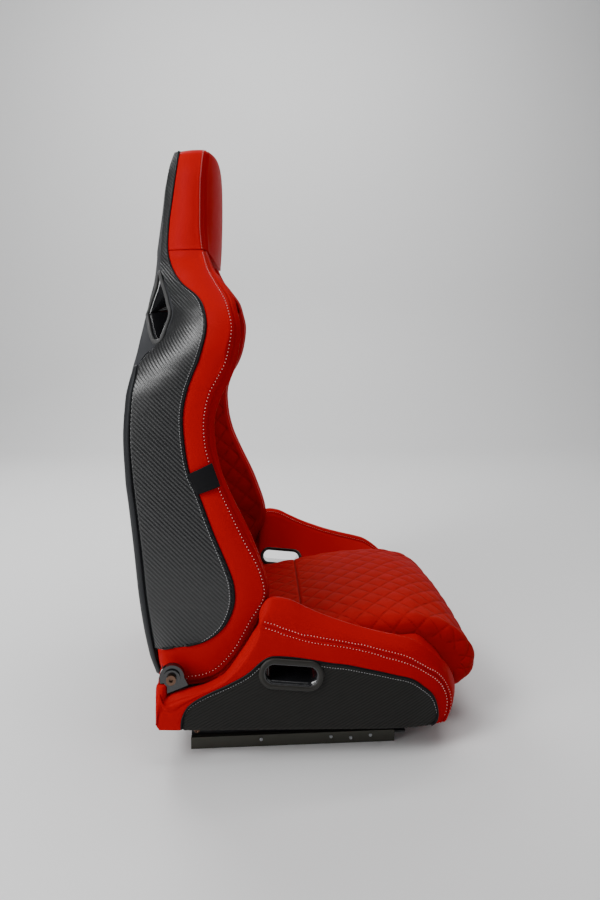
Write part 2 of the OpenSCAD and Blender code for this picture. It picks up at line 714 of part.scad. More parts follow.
// Toothed latch plates carried by the release bar, which drop beside the inner lip of the lower rail.
module track_latches() {
    tooth = 5;
    color(steel_bright)
        for (side = [-1, 1]) sided(side)
            plate_y(concat([[release_pivot_x + 9, 37], [release_pivot_x + 9, 26]],
                           [for (i = [0 : 4]) each [[release_pivot_x + 16 + i * 2 * tooth, 26],
                                                    [release_pivot_x + 17 + i * 2 * tooth, 20],
                                                    [release_pivot_x + 20 + i * 2 * tooth, 20],
                                                    [release_pivot_x + 21 + i * 2 * tooth, 26]]],
                           [[release_pivot_x + 70, 26], [release_pivot_x + 70, 37]]),
                    rail_y - upper_w / 2 - 3, rail_y - upper_w / 2 - 0.4);
}

lever_angle = 50;
lever_len = 105;

module recline_lever() {
    hub_r = 15;
    a = lever_angle;
    tip = [pivot_x + lever_len * cos(a), pivot_z + lever_len * sin(a)];
    side_step = 9 * [-sin(a), cos(a)];
    foot = [pivot_x, pivot_z];
    color(steel_black)
        difference() {
            union() {
                disc_y(pivot_x, pivot_z, hub_r, hub_y0, hub_y1);
                plate_y([foot + side_step, foot - side_step, tip - side_step, tip + side_step],
                        hub_y1 - 3, hub_y1);
            }
            disc_y(pivot_x, pivot_z, pivot_r + run_gap, hub_y0 - 1, hub_y1 + 1);
        }
}

// A moulded grip that sleeves the outer half of the lever.
module lever_grip() {
    a = lever_angle;
    color(plastic_black)
        translate([pivot_x, 0, pivot_z])
            rotate([0, -a, 0])
                difference() {
                    union() {
                        translate([52, 253, -13]) cube([54, 13, 26]);
                        translate([106, 259.5, 0]) rotate([90, 0, 0]) cylinder(r = 13, h = 13, center = true);
                    }
                    translate([51, 254 - gap, -9 - gap]) cube([54 + gap, 3 + 2 * gap, 18 + 2 * gap]);
                }
}

lower_rail_right();
lower_rail_left();
rail_rollers();
rail_end_stops();
upper_rail_right();
upper_rail_left();
rail_bolts();
mounting_bars();
base_side_plate_right();
base_side_plate_left();
base_cross_tubes();
cushion_support_wires();
cushion_insert();
thigh_bolster_right();
thigh_bolster_left();
base_side_panel_right();
base_side_panel_left();
base_rear_cover();
lap_bezel_right();
lap_bezel_left();
pivot_bolt_right();
pivot_bolt_left();
pivot_cover_right();
recliner_housing();
recliner_spring();
back_frame();
back_cross_bars();
hinge_arm_right();
hinge_arm_left();
pivot_bush_right();
pivot_bush_left();
back_support_wires();
back_insert();
back_bolster_right();
back_bolster_left();
headrest_pad();
back_shell();
back_side_panel_right();
back_side_panel_left();
harness_bezel_right();
harness_bezel_left();
side_tag();
release_bar();
release_pivots();
track_latches();
recline_lever();
lever_grip();
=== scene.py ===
"""The looks of a reclining racing seat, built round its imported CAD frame. Sizes here are in millimetres."""
import json
import math
import bpy
import bmesh
import numpy as np
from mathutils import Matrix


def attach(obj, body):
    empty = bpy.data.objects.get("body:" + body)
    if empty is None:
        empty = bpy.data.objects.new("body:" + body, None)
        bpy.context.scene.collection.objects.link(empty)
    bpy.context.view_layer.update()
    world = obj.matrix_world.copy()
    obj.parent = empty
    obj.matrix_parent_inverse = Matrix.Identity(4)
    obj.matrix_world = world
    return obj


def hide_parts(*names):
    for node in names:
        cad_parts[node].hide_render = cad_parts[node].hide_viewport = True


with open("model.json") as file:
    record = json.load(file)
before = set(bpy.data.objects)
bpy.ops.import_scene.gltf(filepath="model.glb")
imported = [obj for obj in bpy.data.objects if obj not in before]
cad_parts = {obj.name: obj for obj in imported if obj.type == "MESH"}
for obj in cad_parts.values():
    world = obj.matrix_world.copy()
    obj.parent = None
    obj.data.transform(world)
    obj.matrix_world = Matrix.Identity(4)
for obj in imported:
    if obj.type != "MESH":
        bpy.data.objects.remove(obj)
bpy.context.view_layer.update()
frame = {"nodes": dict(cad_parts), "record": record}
MM = 0.001
SIDES = (("left", 1), ("right", -1))
base_half_w = 268
cushion_half_w = 178
quilt_size = 42
quilt_depth = 2.0
cloth_frames = 20
cloth_pressure = 4.0


# ---------------------------------------------------------------- curves

def along(table, k):
    """A smooth curve, with no overshoot, through a table of (position, value)."""
    xs, ys = np.array(table, float).T
    h = np.diff(xs)
    d = np.diff(ys) / h
    m = np.zeros(len(xs))
    m[0], m[-1] = d[0], d[-1]
    same = d[:-1] * d[1:] > 0
    m[1:-1][same] = 2 * (d[:-1] * d[1:])[same] / (d[:-1] + d[1:])[same]
    k = np.clip(k, xs[0], xs[-1])
    i = np.clip(np.searchsorted(xs, k) - 1, 0, len(xs) - 2)
    t = (k - xs[i]) / h[i]
    return ((1 + 2 * t) * (1 - t) ** 2 * ys[i] + t * (1 - t) ** 2 * h[i] * m[i]
            + t * t * (3 - 2 * t) * ys[i + 1] - t * t * (1 - t) * h[i] * m[i + 1])


def through(points, t, closed=False):
    """Catmull-Rom curve through points (first axis) at float positions t."""
    p = np.asarray(points, float)
    n = len(p)
    i = np.floor(t).astype(int)
    i = i % n if closed else np.clip(i, 0, n - 2)
    f = (t - np.floor(t)) if closed else (t - i)
    f = f.reshape((-1,) + (1,) * (p.ndim - 1))
    if closed:
        a, b, c, d = p[(i - 1) % n], p[i], p[(i + 1) % n], p[(i + 2) % n]
    else:
        b, c = p[i], p[i + 1]
        a = np.where((i > 0).reshape(f.shape), p[np.maximum(i - 1, 0)], 2 * b - c)
        d = np.where((i < n - 2).reshape(f.shape), p[np.minimum(i + 2, n - 1)], 2 * c - b)
    return 0.5 * (2 * b + (c - a) * f + (2 * a - 5 * b + 4 * c - d) * f ** 2
                  + (3 * b - a - 3 * c + d) * f ** 3)


def unit(v):
    """Vectors brought to length 1."""
    return v / np.maximum(np.linalg.norm(v, axis=-1, keepdims=True), 1e-9)


def lengths(p):
    """Distance travelled along a list of points."""
    return np.concatenate([[0], np.cumsum(np.linalg.norm(np.diff(p, axis=0), axis=1))])


def even(points, step):
    """Positions along a Catmull-Rom curve that are an even step apart."""
    fine = np.linspace(0, len(points) - 1, 40 * len(points))
    s = lengths(through(points, fine))
    return np.interp(np.linspace(0, s[-1], max(3, int(s[-1] / step) + 1)), s, fine)


def mix(a, b, t):
    return a + (b - a) * t


# Seat back: height against depth (x) or half width (y).
rear_x = [(112, -222), (145, -231), (250, -245), (320, -252), (390, -260), (430, -265), (500, -268),
          (560, -263), (600, -257), (627, -253.5), (646, -252), (679, -250), (700, -247), (713, -245.5),
          (755, -239.5), (800, -235.5), (838, -231), (877, -226), (918, -221.5), (946, -217), (971, -212.5),
          (982, -209)]
seam_x = [(128, -170), (137, -158), (147, -135), (165, -110), (190, -90), (222, -66), (240, -52),
          (252, -46), (272, -48), (302, -60), (335, -77), (394, -106), (430, -122), (464, -134),
          (500, -141), (531, -141), (553, -137), (574, -128), (622, -106), (642, -100), (671, -98),
          (694, -103), (718, -112), (745, -129), (768, -142), (788, -151), (808, -157), (904, -157),
          (949, -155), (982, -152)]
ridge_w = [(128, 224), (300, 226), (500, 231), (600, 236), (665, 240), (712, 214), (745, 184),
           (770, 150), (800, 118), (930, 114), (982, 98)]
outer_w = [(128, 237), (160, 240), (200, 245), (250, 250), (300, 252), (400, 250), (500, 248),
           (600, 255), (640, 261), (670, 257), (695, 245), (720, 222), (745, 194), (770, 164),
           (790, 146), (810, 138), (860, 134), (930, 130), (982, 112)]
pad_x = [(130, -150), (200, -158), (300, -168), (400, -178), (500, -184), (600, -183), (700, -172),
         (740, -164), (776, -150), (801, -150)]
head_x = [(802, -131), (830, -129), (880, -128), (930, -128), (960, -129), (984, -131)]
valley_w = [(130, 172), (300, 170), (400, 168), (600, 164), (700, 148), (740, 126), (776, 96)]

# Matching places on the weave's edge, the stitched seam and the front ridge of a back bolster (x, z).
back_stations = np.array([
    [(-215, 163), (-213, 125), (-215, 104)], [(-186, 171), (-185, 123), (-190, 102)],
    [(-165, 174), (-163, 123), (-164, 102)], [(-143, 180), (-140, 126), (-138, 104)],
    [(-124, 191), (-120, 136), (-110, 113)], [(-109, 206), (-99, 158), (-91, 135)],
    [(-100, 224), (-84, 182), (-74, 158)], [(-95, 242), (-68, 213), (-58, 192)],
    [(-95, 258), (-54, 235), (-44, 221)], [(-97, 274), (-47, 255), (-39, 248)],
    [(-103, 292), (-51, 278), (-43, 273)], [(-111, 312), (-60, 303), (-52, 300)],
    [(-128, 352), (-80, 340), (-69, 343)],
    [(-150, 410), (-106, 394), (-95, 396)], [(-164, 442), (-124, 434), (-113, 438)],
    [(-172, 485), (-138, 480), (-123, 480)], [(-175, 530), (-141, 525), (-125, 525)],
    [(-169, 567), (-133, 565), (-114, 562)], [(-160, 594), (-120, 590), (-99, 590)],
    [(-148, 624), (-106, 620), (-89, 622)], [(-138, 665), (-98, 665), (-84, 665)],
    [(-142, 696), (-103, 694), (-90, 697)], [(-155, 718), (-112, 718), (-98, 722)],
    [(-183, 741), (-129, 745), (-117, 748)], [(-203, 769), (-142, 768), (-131, 767)],
    [(-213, 801), (-153, 801), (-146, 801)]], float)
# The weave goes on up the headrest, so its edge has more places.
weave_top = np.array([(-212, 850), (-205, 903), (-199, 950), (-197, 980)], float)
weave_rear_z = [161, 163, 166, 171, 180, 194, 212, 232, 252, 272, 292, 312, 352, 405, 440, 485, 530, 565,
                590, 611, 632, 652, 690, 732, 768, 794, 850, 903, 950, 980]
# Where the weave meets the rear shell: height against depth and half width.
join_x = [(112, -208), (145, -217), (250, -231), (320, -238), (390, -246), (430, -251), (500, -256),
          (560, -254), (582, -250), (611, -245), (627, -235.5), (638, -219), (650, -208.5), (671, -198),
          (695, -193), (729, -205), (756, -221), (784, -226), (850, -224), (914, -219), (960, -212),
          (982, -205)]
join_y = [(112, 205), (145, 214), (200, 227), (250, 234), (400, 237), (500, 236), (600, 232)]
# How strongly the shoulder and headrest sides fall away from the seam towards the rear.
fall = [(500, 8.5), (560, 11), (590, 15), (611, 20), (627, 26), (638, 31), (650, 37), (671, 48), (695, 60),
        (729, 60), (756, 60), (784, 65), (800, 67), (850, 83), (914, 102), (960, 105), (982, 117)]
# Half width of the flat part of the rear shell; beyond it the shell slants to the weave.
flat_w = [(112, 196), (150, 206), (200, 218), (250, 225), (400, 228), (560, 225), (600, 214), (627, 192),
          (646, 175), (679, 140), (700, 126), (713, 120), (755, 95), (800, 86), (860, 84), (920, 82),
          (982, 72)]


def side_y(x, z):
    """Half width of the back's outer side at a place on it."""
    x0, y0 = along(join_x, z), along(join_y, z)
    x1, y1 = along(seam_x, z), along(outer_w, z)
    t = np.clip((x - x0) / (x1 - x0), 0, 1)
    low = np.clip((230 - z) / 60, 0, 1)
    rise = mix(np.sin(math.pi / 2 * t) ** 0.85, 1 - (1 - t) ** 6, low)
    lower = mix(y0, y1, rise)
    upper = y1 - along(fall, z) * (np.maximum(x1 - x, 0) / 100) ** 2.5
    k = np.clip((z - 520) / 80, 0, 1)
    return mix(lower, upper, k * k * (3 - 2 * k))


def join_w(z):
    """Half width of the line where the weave meets the rear shell."""
    return side_y(along(join_x, z), z)


def rear_skin_x(y, z):
    """Depth of the rear shell at a sideways place and height."""
    y = np.abs(y)
    edge, corner = along(flat_w, z), along(rear_x, z)
    t = np.clip((y - edge) / (join_w(z) - edge), 0, 1)
    return mix(corner, along(join_x, z), t ** 1.25) - 8 * (1 - np.clip(y / edge, 0, 1) ** 2.4)


# ---------------------------------------------------------------- mesh helpers

def link(name, verts, faces):
    """A smooth-shaded object from vertices in millimetres and faces."""
    mesh = bpy.data.meshes.new(name)
    mesh.from_pydata((np.asarray(verts, float).reshape(-1, 3) * MM).tolist(), [], faces)
    bm = bmesh.new()
    bm.from_mesh(mesh)
    bmesh.ops.recalc_face_normals(bm, faces=bm.faces)
    bm.to_mesh(mesh)
    bm.free()
    mesh.polygons.foreach_set("use_smooth", [True] * len(mesh.polygons))
    obj = bpy.data.objects.new(name, mesh)
    bpy.context.scene.collection.objects.link(obj)
    return obj


def grid_faces(rows, cols, closed=False, start=0):
    last = cols if closed else cols - 1
    return [(start + r * cols + c, start + r * cols + (c + 1) % cols,
             start + (r + 1) * cols + (c + 1) % cols, start + (r + 1) * cols + c)
            for r in range(rows - 1) for c in range(last)]


def closed_loft(p):
    """Vertices and faces of a solid whose rings are the rows of p, with a fan at each end."""
    rows, cols = p.shape[:2]
    verts = np.vstack([p.reshape(-1, 3), p[0].mean(0), p[-1].mean(0)])
    n = rows * cols
    faces = grid_faces(rows, cols, closed=True)
    faces += [(n, (c + 1) % cols, c) for c in range(cols)]
    faces += [(n + 1, (rows - 1) * cols + c, (rows - 1) * cols + (c + 1) % cols) for c in range(cols)]
    return verts, faces


def add(name, mesh, body, slot, material, *nodes, fill=None):
    """A piece from its (vertices, faces), with its body, material and the CAD nodes it replaces; the slot is
    not used.
    """
    obj = link(name, *mesh)
    obj.data.materials.append(material)
    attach(obj, body)
    if nodes:
        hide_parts(*nodes)
    return obj


def normals(p, closed):
    """Unit normals of a grid of points, away from the middle of its rings."""
    if closed:
        across = np.roll(p, -1, axis=1) - np.roll(p, 1, axis=1)
    else:
        across = np.gradient(p, axis=1)
    return unit(np.cross(across, np.gradient(p, axis=0)))


def denser(p, by_row, by_col, closed):
    """A grid of points made finer along smooth curves."""
    rows, cols = p.shape[:2]
    p = through(p, np.linspace(0, rows - 1, (rows - 1) * by_row + 1))
    q = p.transpose(1, 0, 2)
    if closed:
        q = through(q, np.arange(cols * by_col) / by_col, closed=True)
    else:
        q = through(q, np.linspace(0, cols - 1, (cols - 1) * by_col + 1))
    return q.transpose(1, 0, 2)


def swell(name, p, held, cap):
    """Blows up a closed pad by cloth simulation with its sewn lines held, and caps how far it moves."""
    rows, cols = p.shape[:2]
    verts, faces = closed_loft(p)
    obj = link(name + "_cloth", verts, faces)
    group = obj.vertex_groups.new(name="sewn")
    held = [int(i) for i in np.flatnonzero(held.reshape(-1))] + [rows * cols, rows * cols + 1]
    group.add(held, 1.0, "REPLACE")
    cloth = obj.modifiers.new("air", "CLOTH")
    for key, value in (("quality", 5), ("mass", 0.3), ("tension_stiffness", 18),
                       ("compression_stiffness", 18), ("bending_stiffness", 0.6), ("use_pressure", True),
                       ("uniform_pressure_force", cloth_pressure), ("vertex_group_mass", "sewn")):
        setattr(cloth.settings, key, value)
    cloth.settings.effector_weights.gravity = 0
    cloth.collision_settings.use_collision = False
    cloth.point_cache.frame_start = 1
    cloth.point_cache.frame_end = cloth_frames
    scene = bpy.context.scene
    for f in range(1, cloth_frames + 1):
        scene.frame_set(f)
    done = obj.evaluated_get(bpy.context.evaluated_depsgraph_get()).to_mesh()
    out = np.empty(len(done.vertices) * 3)
    done.vertices.foreach_get("co", out)
    out = out.reshape(-1, 3)[:rows * cols].reshape(p.shape) / MM
    scene.frame_set(1)
    bpy.data.objects.remove(obj)
    move = out - p
    for _ in range(3):
        move = (np.roll(move, 1, 1) + 2 * move + np.roll(move, -1, 1)) / 4
        move[1:-1] = (move[:-2] + 2 * move[1:-1] + move[2:]) / 4
    size = np.linalg.norm(move, axis=2, keepdims=True)
    return p + move * (cap * np.tanh(size / cap) / np.maximum(size, 1e-9))


def outward(p, n):
    """Turns normals so that they point out of a closed loft."""
    middle = p.mean(axis=1, keepdims=True)
    return n if np.sum((p - middle) * n) > 0 else -n


def round_ring(p):
    """Distance travelled round each ring of a closed loft, from its first column."""
    step = np.linalg.norm(np.roll(p, -1, 1) - p, axis=2)
    return np.concatenate([np.zeros((len(p), 1)), np.cumsum(step, 1)[:, :-1]], 1)


def columns_between(lines, counts, shape):
    """Rings through a pad's sewn lines. counts gives the columns after each line, and shape bends them."""
    cols, marks = [], []
    for k, n in enumerate(counts):
        a, b = lines[k], lines[(k + 1) % len(lines)]
        marks.append(len(cols))
        for i in range(n):
            q = mix(a, b, i / n)
            shape(k, i / n, q)
            cols.append(q)
    return np.stack(cols, 1), marks


def quilted(shown, a, b, size_a=quilt_size):
    """Height of diamond quilting where shown is 1: lowest on the sewn lines, highest between them."""
    u = np.abs(np.sin(math.pi * (a / size_a + b / quilt_size)))
    v = np.abs(np.sin(math.pi * (a / size_a - b / quilt_size)))
    return shown * quilt_depth * ((u * v) ** 0.45 - 0.55)


def groove(distance, width):
    """A sewn line's smooth dip, 1 at its middle."""
    return np.exp(-(distance / width) ** 2)


# ---------------------------------------------------------------- thin lines: piping and stitches

def tube(path, radius, sides=8, closed=False, flat=1.0, up=(0, 1, 0)):
    """Vertices and faces of a round bead along a path; flat below 1 squeezes it along up."""
    p = np.asarray(path, float)
    d = (np.roll(p, -1, 0) - np.roll(p, 1, 0)) if closed else np.gradient(p, axis=0)
    d = unit(d)
    u = unit(np.cross(np.broadcast_to(np.asarray(up, float), d.shape), d))
    v = np.cross(d, u)
    ang = np.arange(sides) * 2 * math.pi / sides
    ring = (p[:, None] + radius * np.cos(ang)[None, :, None] * u[:, None]
            + radius * flat * np.sin(ang)[None, :, None] * v[:, None])
    if not closed:
        return closed_loft(ring)
    rows = len(p)
    faces = grid_faces(rows, sides, closed=True)
    faces += [((rows - 1) * sides + c, (rows - 1) * sides + (c + 1) % sides, (c + 1) % sides, c)
              for c in range(sides)]
    return ring.reshape(-1, 3), faces


def stitches(path, normal, pitch, length, radius):
    """A row of short thread stitches laid on a surface: each is a small bead that dips at its ends."""
    path = np.asarray(path, float)
    lift = 0.25
    s = lengths(path)
    starts = np.arange(pitch * 0.5, s[-1] - pitch, pitch)
    verts, faces = [], []
    shape = [(-0.5, 0.35, -0.7), (-0.3, 0.9, 0.0), (0.0, 1.0, 0.3), (0.3, 0.9, 0.0), (0.5, 0.35, -0.7)]
    ang = np.arange(6) * math.pi / 3

    def place(table, k):
        return np.array([np.interp(k, s, table[:, j]) for j in range(3)])

    for s0 in starts:
        base = len(verts)
        a, b = place(path, s0), place(path, s0 + length)
        d = (b - a) / max(np.linalg.norm(b - a), 1e-9)
        n = place(normal, s0 + length / 2)
        n = n - d * np.dot(n, d)
        n /= max(np.linalg.norm(n), 1e-9)
        w = np.cross(d, n)
        for t, r, h in shape:
            c = mix(a, b, t + 0.5) + n * (lift + h * radius)
            for k in ang:
                verts.append(c + radius * r * (math.cos(k) * w + math.sin(k) * n))
        faces += grid_faces(len(shape), 6, closed=True, start=base)
        faces.append(tuple(base + k for k in range(6)))
        faces.append(tuple(base + (len(shape) - 1) * 6 + k for k in reversed(range(6))))
    return verts, faces


def joined(parts):
    """Several (vertices, faces) as one."""
    verts, faces = [], []
    for v, f in parts:
        start = len(verts)
        verts.extend(np.asarray(v, float).tolist())
        faces.extend([tuple(start + i for i in face) for face in f])
    return verts, faces


# ---------------------------------------------------------------- materials

def new_material(name, color, roughness, **constants):
    mat = bpy.data.materials.new(name)
    mat.use_nodes = True
    tree = mat.node_tree
    shader = tree.nodes["Principled BSDF"]
    shader.inputs["Base Color"].default_value = (*color, 1)
    shader.inputs["Roughness"].default_value = roughness
    for key, value in constants.items():
        shader.inputs[key.replace("_", " ")].default_value = value
    return mat, tree, shader


def node(tree, kind, output, settings=(), **inputs):
    """Adds a shader node and gives one of its outputs. An input is a value or another node's output."""
    n = tree.nodes.new("ShaderNode" + kind)
    for key, value in settings:
        setattr(n, key, value)
    for key, value in inputs.items():
        socket = n.inputs[key.replace("_", " ")]
        if isinstance(value, bpy.types.NodeSocket):
            tree.links.new(value, socket)
        else:
            socket.default_value = value
    return n.outputs[output]


def object_coords(tree, scale=(1, 1, 1), turn=(0, 0, 0)):
    coords = node(tree, "TexCoord", "Object")
    return node(tree, "Mapping", "Vector", Scale=scale, Rotation=turn, Vector=coords)


def noise(tree, vector, scale, detail=3.0, rough=0.55):
    return node(tree, "TexNoise", "Fac", Scale=scale, Detail=detail, Roughness=rough, Vector=vector)


def cells(tree, vector, scale, feature="F1"):
    return node(tree, "TexVoronoi", "Distance", [("feature", feature)], Scale=scale, Vector=vector)


def waves(tree, vector, scale, distortion):
    return node(tree, "TexWave", "Fac", [("bands_direction", "X")], Scale=scale, Distortion=distortion,
                Vector=vector)


def maths(tree, operation, a, b):
    n = tree.nodes.new("ShaderNodeMath")
    n.operation = operation
    for socket, value in zip(n.inputs, (a, b)):
        if isinstance(value, (int, float)):
            socket.default_value = value
        else:
            tree.links.new(value, socket)
    return n.outputs[0]


def spread(tree, value, low, high):
    return node(tree, "MapRange", "Result", To_Min=low, To_Max=high, Value=value)


def tint(tree, value, first, second):
    """A colour between two others."""
    return node(tree, "Mix", "Result", [("data_type", "RGBA")], A=(*first, 1), B=(*second, 1), Factor=value)


def bump(tree, shader, height, distance, strength):
    normal = node(tree, "Bump", "Normal", Strength=strength, Distance=distance, Height=height)
    tree.links.new(normal, shader.inputs["Normal"])


def paint_valley_shade(tree, shader, color, valley, low, high):
    """Paints shade into the mesh's valleys: a darker colour in sewn lines and the gaps between ribs, where
    less light falls.
    """
    point = node(tree, "NewGeometry", "Pointiness")
    ridge = node(tree, "MapRange", "Result", From_Min=low, From_Max=high, Value=point)
    mixed = node(tree, "Mix", "Result", [("data_type", "RGBA")], A=(*valley, 1), Factor=ridge, B=color)
    tree.links.new(mixed, shader.inputs["Base Color"])


def times(color, k):
    return tuple(c * k for c in color)


def leatherette(name, color, roughness, grain=900, specular=0.10):
    """Smooth grained synthetic leather: fine pebbles, faint creases and a slow change of colour."""
    mat, tree, shader = new_material(name, color, roughness, Specular_IOR_Level=specular)
    v = object_coords(tree)
    pebble = cells(tree, v, grain, "DISTANCE_TO_EDGE")
    fine = noise(tree, v, grain * 1.6)
    slow = noise(tree, v, 9)
    height = maths(tree, "ADD", maths(tree, "MULTIPLY", pebble, 0.8), maths(tree, "MULTIPLY", fine, 0.35))
    tree.links.new(tint(tree, slow, times(color, 0.82), color), shader.inputs["Base Color"])
    tree.links.new(spread(tree, noise(tree, v, 60), roughness - 0.06, roughness + 0.07),
                   shader.inputs["Roughness"])
    bump(tree, shader, height, 0.00018, 0.55)
    return mat


def suede(name, color, roughness):
    """Soft insert cloth: a short nap with tiny pores, mottled by the way the nap lies."""
    mat, tree, shader = new_material(name, color, roughness, Specular_IOR_Level=0.08,
                                     Sheen_Weight=0.05, Sheen_Roughness=0.4)
    shader.inputs["Sheen Tint"].default_value = (1.0, 0.2, 0.15, 1)
    v = object_coords(tree)
    nap = noise(tree, v, 1500, 4.0, 0.7)
    dots = cells(tree, v, 420)
    mottled = noise(tree, v, 38, 3.0, 0.6)
    pore = spread(tree, maths(tree, "MULTIPLY", dots, 4.0), 0.0, 1.0)
    cloth = tint(tree, mottled, times(color, 0.75), color)
    # Painted shade: the quilting's sewn lines and valleys get half the cloth colour.
    paint_valley_shade(tree, shader, cloth, times(color, 0.5), 0.475, 0.50)
    height = maths(tree, "ADD", maths(tree, "MULTIPLY", nap, 0.5), maths(tree, "MULTIPLY", pore, 0.6))
    bump(tree, shader, height, 0.00022, 0.6)
    return mat


def ribbed_vinyl(name, color, roughness, specular):
    """Carbon-look vinyl: the ribs are in the mesh; the bump adds the fine threads and grain on them."""
    mat, tree, shader = new_material(name, color, roughness, Specular_IOR_Level=specular)
    v = object_coords(tree)
    turned = object_coords(tree, turn=(0, math.radians(48), 0))
    threads = waves(tree, turned, 190, 1.2)
    grain = noise(tree, v, 1300)
    slow = noise(tree, v, 14)
    # The thread pattern lightens the colour, partly as a painted highlight on the rib crests; the gaps
    # between ribs get painted shade at a fifth of the colour.
    threads_and_crest_highlight = tint(tree, maths(tree, "MULTIPLY", threads, slow), color, times(color, 1.5))
    paint_valley_shade(tree, shader, threads_and_crest_highlight, times(color, 0.2), 0.47, 0.53)
    tree.links.new(spread(tree, noise(tree, v, 45), roughness - 0.07, roughness + 0.08),
                   shader.inputs["Roughness"])
    height = maths(tree, "ADD", maths(tree, "MULTIPLY", threads, 0.5), maths(tree, "MULTIPLY", grain, 0.4))
    bump(tree, shader, height, 0.00016, 0.6)
    return mat


def moulded(name, color, roughness, grain=700, depth=0.00006, **constants):
    """Plastic or paint with a faint texture and smudges."""
    mat, tree, shader = new_material(name, color, roughness, **constants)
    v = object_coords(tree)
    smudge = noise(tree, v, 22, 4.0, 0.6)
    tree.links.new(spread(tree, smudge, max(roughness - 0.08, 0.03), roughness + 0.1),
                   shader.inputs["Roughness"])
    tree.links.new(tint(tree, noise(tree, v, 7), color, tuple(c * 1.25 + 0.001 for c in color)),
                   shader.inputs["Base Color"])
    bump(tree, shader, noise(tree, v, grain, 2.0), depth, 0.5)
    return mat


def plated(name, color, roughness, stretch=(1, 1, 1)):
    """Metal with fine drawing lines, stains and small scratches."""
    mat, tree, shader = new_material(name, color, roughness, Metallic=1.0)
    v = object_coords(tree, scale=stretch)
    lines = noise(tree, v, 260, 2.0)
    stain = noise(tree, object_coords(tree), 30, 5.0, 0.65)
    tree.links.new(tint(tree, stain, times(color, 0.72), color), shader.inputs["Base Color"])
    tree.links.new(spread(tree, lines, roughness - 0.1, roughness + 0.12), shader.inputs["Roughness"])
    bump(tree, shader, lines, 0.00004, 0.4)
    return mat


def thread(name, color):
    """Twisted sewing thread."""
    mat, tree, shader = new_material(name, color, 0.6, Sheen_Weight=0.3)
    v = object_coords(tree, turn=(0.3, 0.7, 0.2))
    twist = waves(tree, v, 900, 0.6)
    tree.links.new(tint(tree, twist, times(color, 0.75), color), shader.inputs["Base Color"])
    bump(tree, shader, twist, 0.0001, 0.7)
    return mat


RED = (0.39, 0.0030, 0.0045)
mat_red = leatherette("red_leatherette", RED, 0.46, specular=0.02)
mat_quilt = suede("red_quilted_suede", (0.35, 0.0035, 0.0040), 0.8)
mat_weave = ribbed_vinyl("carbon_look_vinyl", (0.0095, 0.0100, 0.0106), 0.38, 0.60)
mat_weave_base = ribbed_vinyl("carbon_look_vinyl_base", (0.0120, 0.0112, 0.0095), 0.5, 0.22)
mat_shell = leatherette("grey_shell_cover", (0.032, 0.033, 0.036), 0.62, 700)
mat_trim = leatherette("black_trim_vinyl", (0.020, 0.021, 0.023), 0.42, 800)
mat_piping = leatherette("black_piping", (0.006, 0.006, 0.007), 0.35, 1200)
mat_gloss = moulded("gloss_black_plastic", (0.006, 0.006, 0.007), 0.14, 300, 0.00003, Coat_Weight=0.5)
mat_bezel = moulded("satin_black_plastic", (0.014, 0.013, 0.011), 0.42, Specular_IOR_Level=0.3)
mat_rim = leatherette("wrapped_rim", (0.060, 0.060, 0.060), 0.5, 700)
mat_label = leatherette("woven_label", (0.006, 0.006, 0.007), 0.7, 1400)
mat_thread_red = thread("light_thread", (0.78, 0.42, 0.40))
mat_thread_grey = thread("grey_thread", (0.42, 0.42, 0.43))
mat_paint = moulded("black_powder_coat", (0.012, 0.012, 0.013), 0.34, 900, 0.00008)
mat_olive = moulded("olive_coated_steel", (0.050, 0.049, 0.040), 0.40, 600, 0.00005, Metallic=0.6)
mat_zinc = plated("zinc_plate", (0.46, 0.47, 0.49), 0.34, (1, 14, 1))
mat_copper = plated("bronze_bush", (0.60, 0.36, 0.20), 0.30)
mat_bolt = plated("browned_bolt", (0.17, 0.10, 0.07), 0.36)
mat_nylon = moulded("black_nylon", (0.018, 0.018, 0.019), 0.5)
mat_grip = moulded("soft_black_grip", (0.012, 0.012, 0.012), 0.62, 1200, 0.00012)

slot_material = {
    "red_leatherette": mat_red, "red_quilted_suede": mat_quilt, "woven_vinyl": mat_weave,
    "shell_plastic": mat_shell, "gloss_black_plastic": mat_gloss, "soft_black_grip": mat_grip,
    "black_nylon": mat_nylon, "woven_label": mat_label, "black_painted_steel": mat_paint,
    "olive_coated_steel": mat_olive, "zinc_steel": mat_zinc, "bronze_bush": mat_copper}
for entry in frame["record"]["subparts"]:
    obj = frame["nodes"][entry["node"]]
    obj.data.materials.clear()
    obj.data.materials.append(slot_material[entry["material_slot"]])
for name in ("pivot_bolt_right", "pivot_bolt_left"):
    frame["nodes"][name].data.materials[0] = mat_bolt


# ---------------------------------------------------------------- back bolsters

inner_low = np.array([(-180, 176, 135), (-174, 176, 134), (-158, 177, 134), (-142, 178, 138),
                      (-124, 182, 144), (-106, 188, 158), (-90, 194, 178), (-72, 200, 206),
                      (-56, 205, 230), (-48, 206, 252)], float)
valley_low = np.array([(-186, 172, 142), (-180, 172, 142), (-170, 172, 142), (-164, 172, 146),
                       (-162, 172, 152), (-161, 172, 166), (-160, 172, 182), (-160, 172, 206),
                       (-161, 172, 230), (-163, 172, 250)], float)


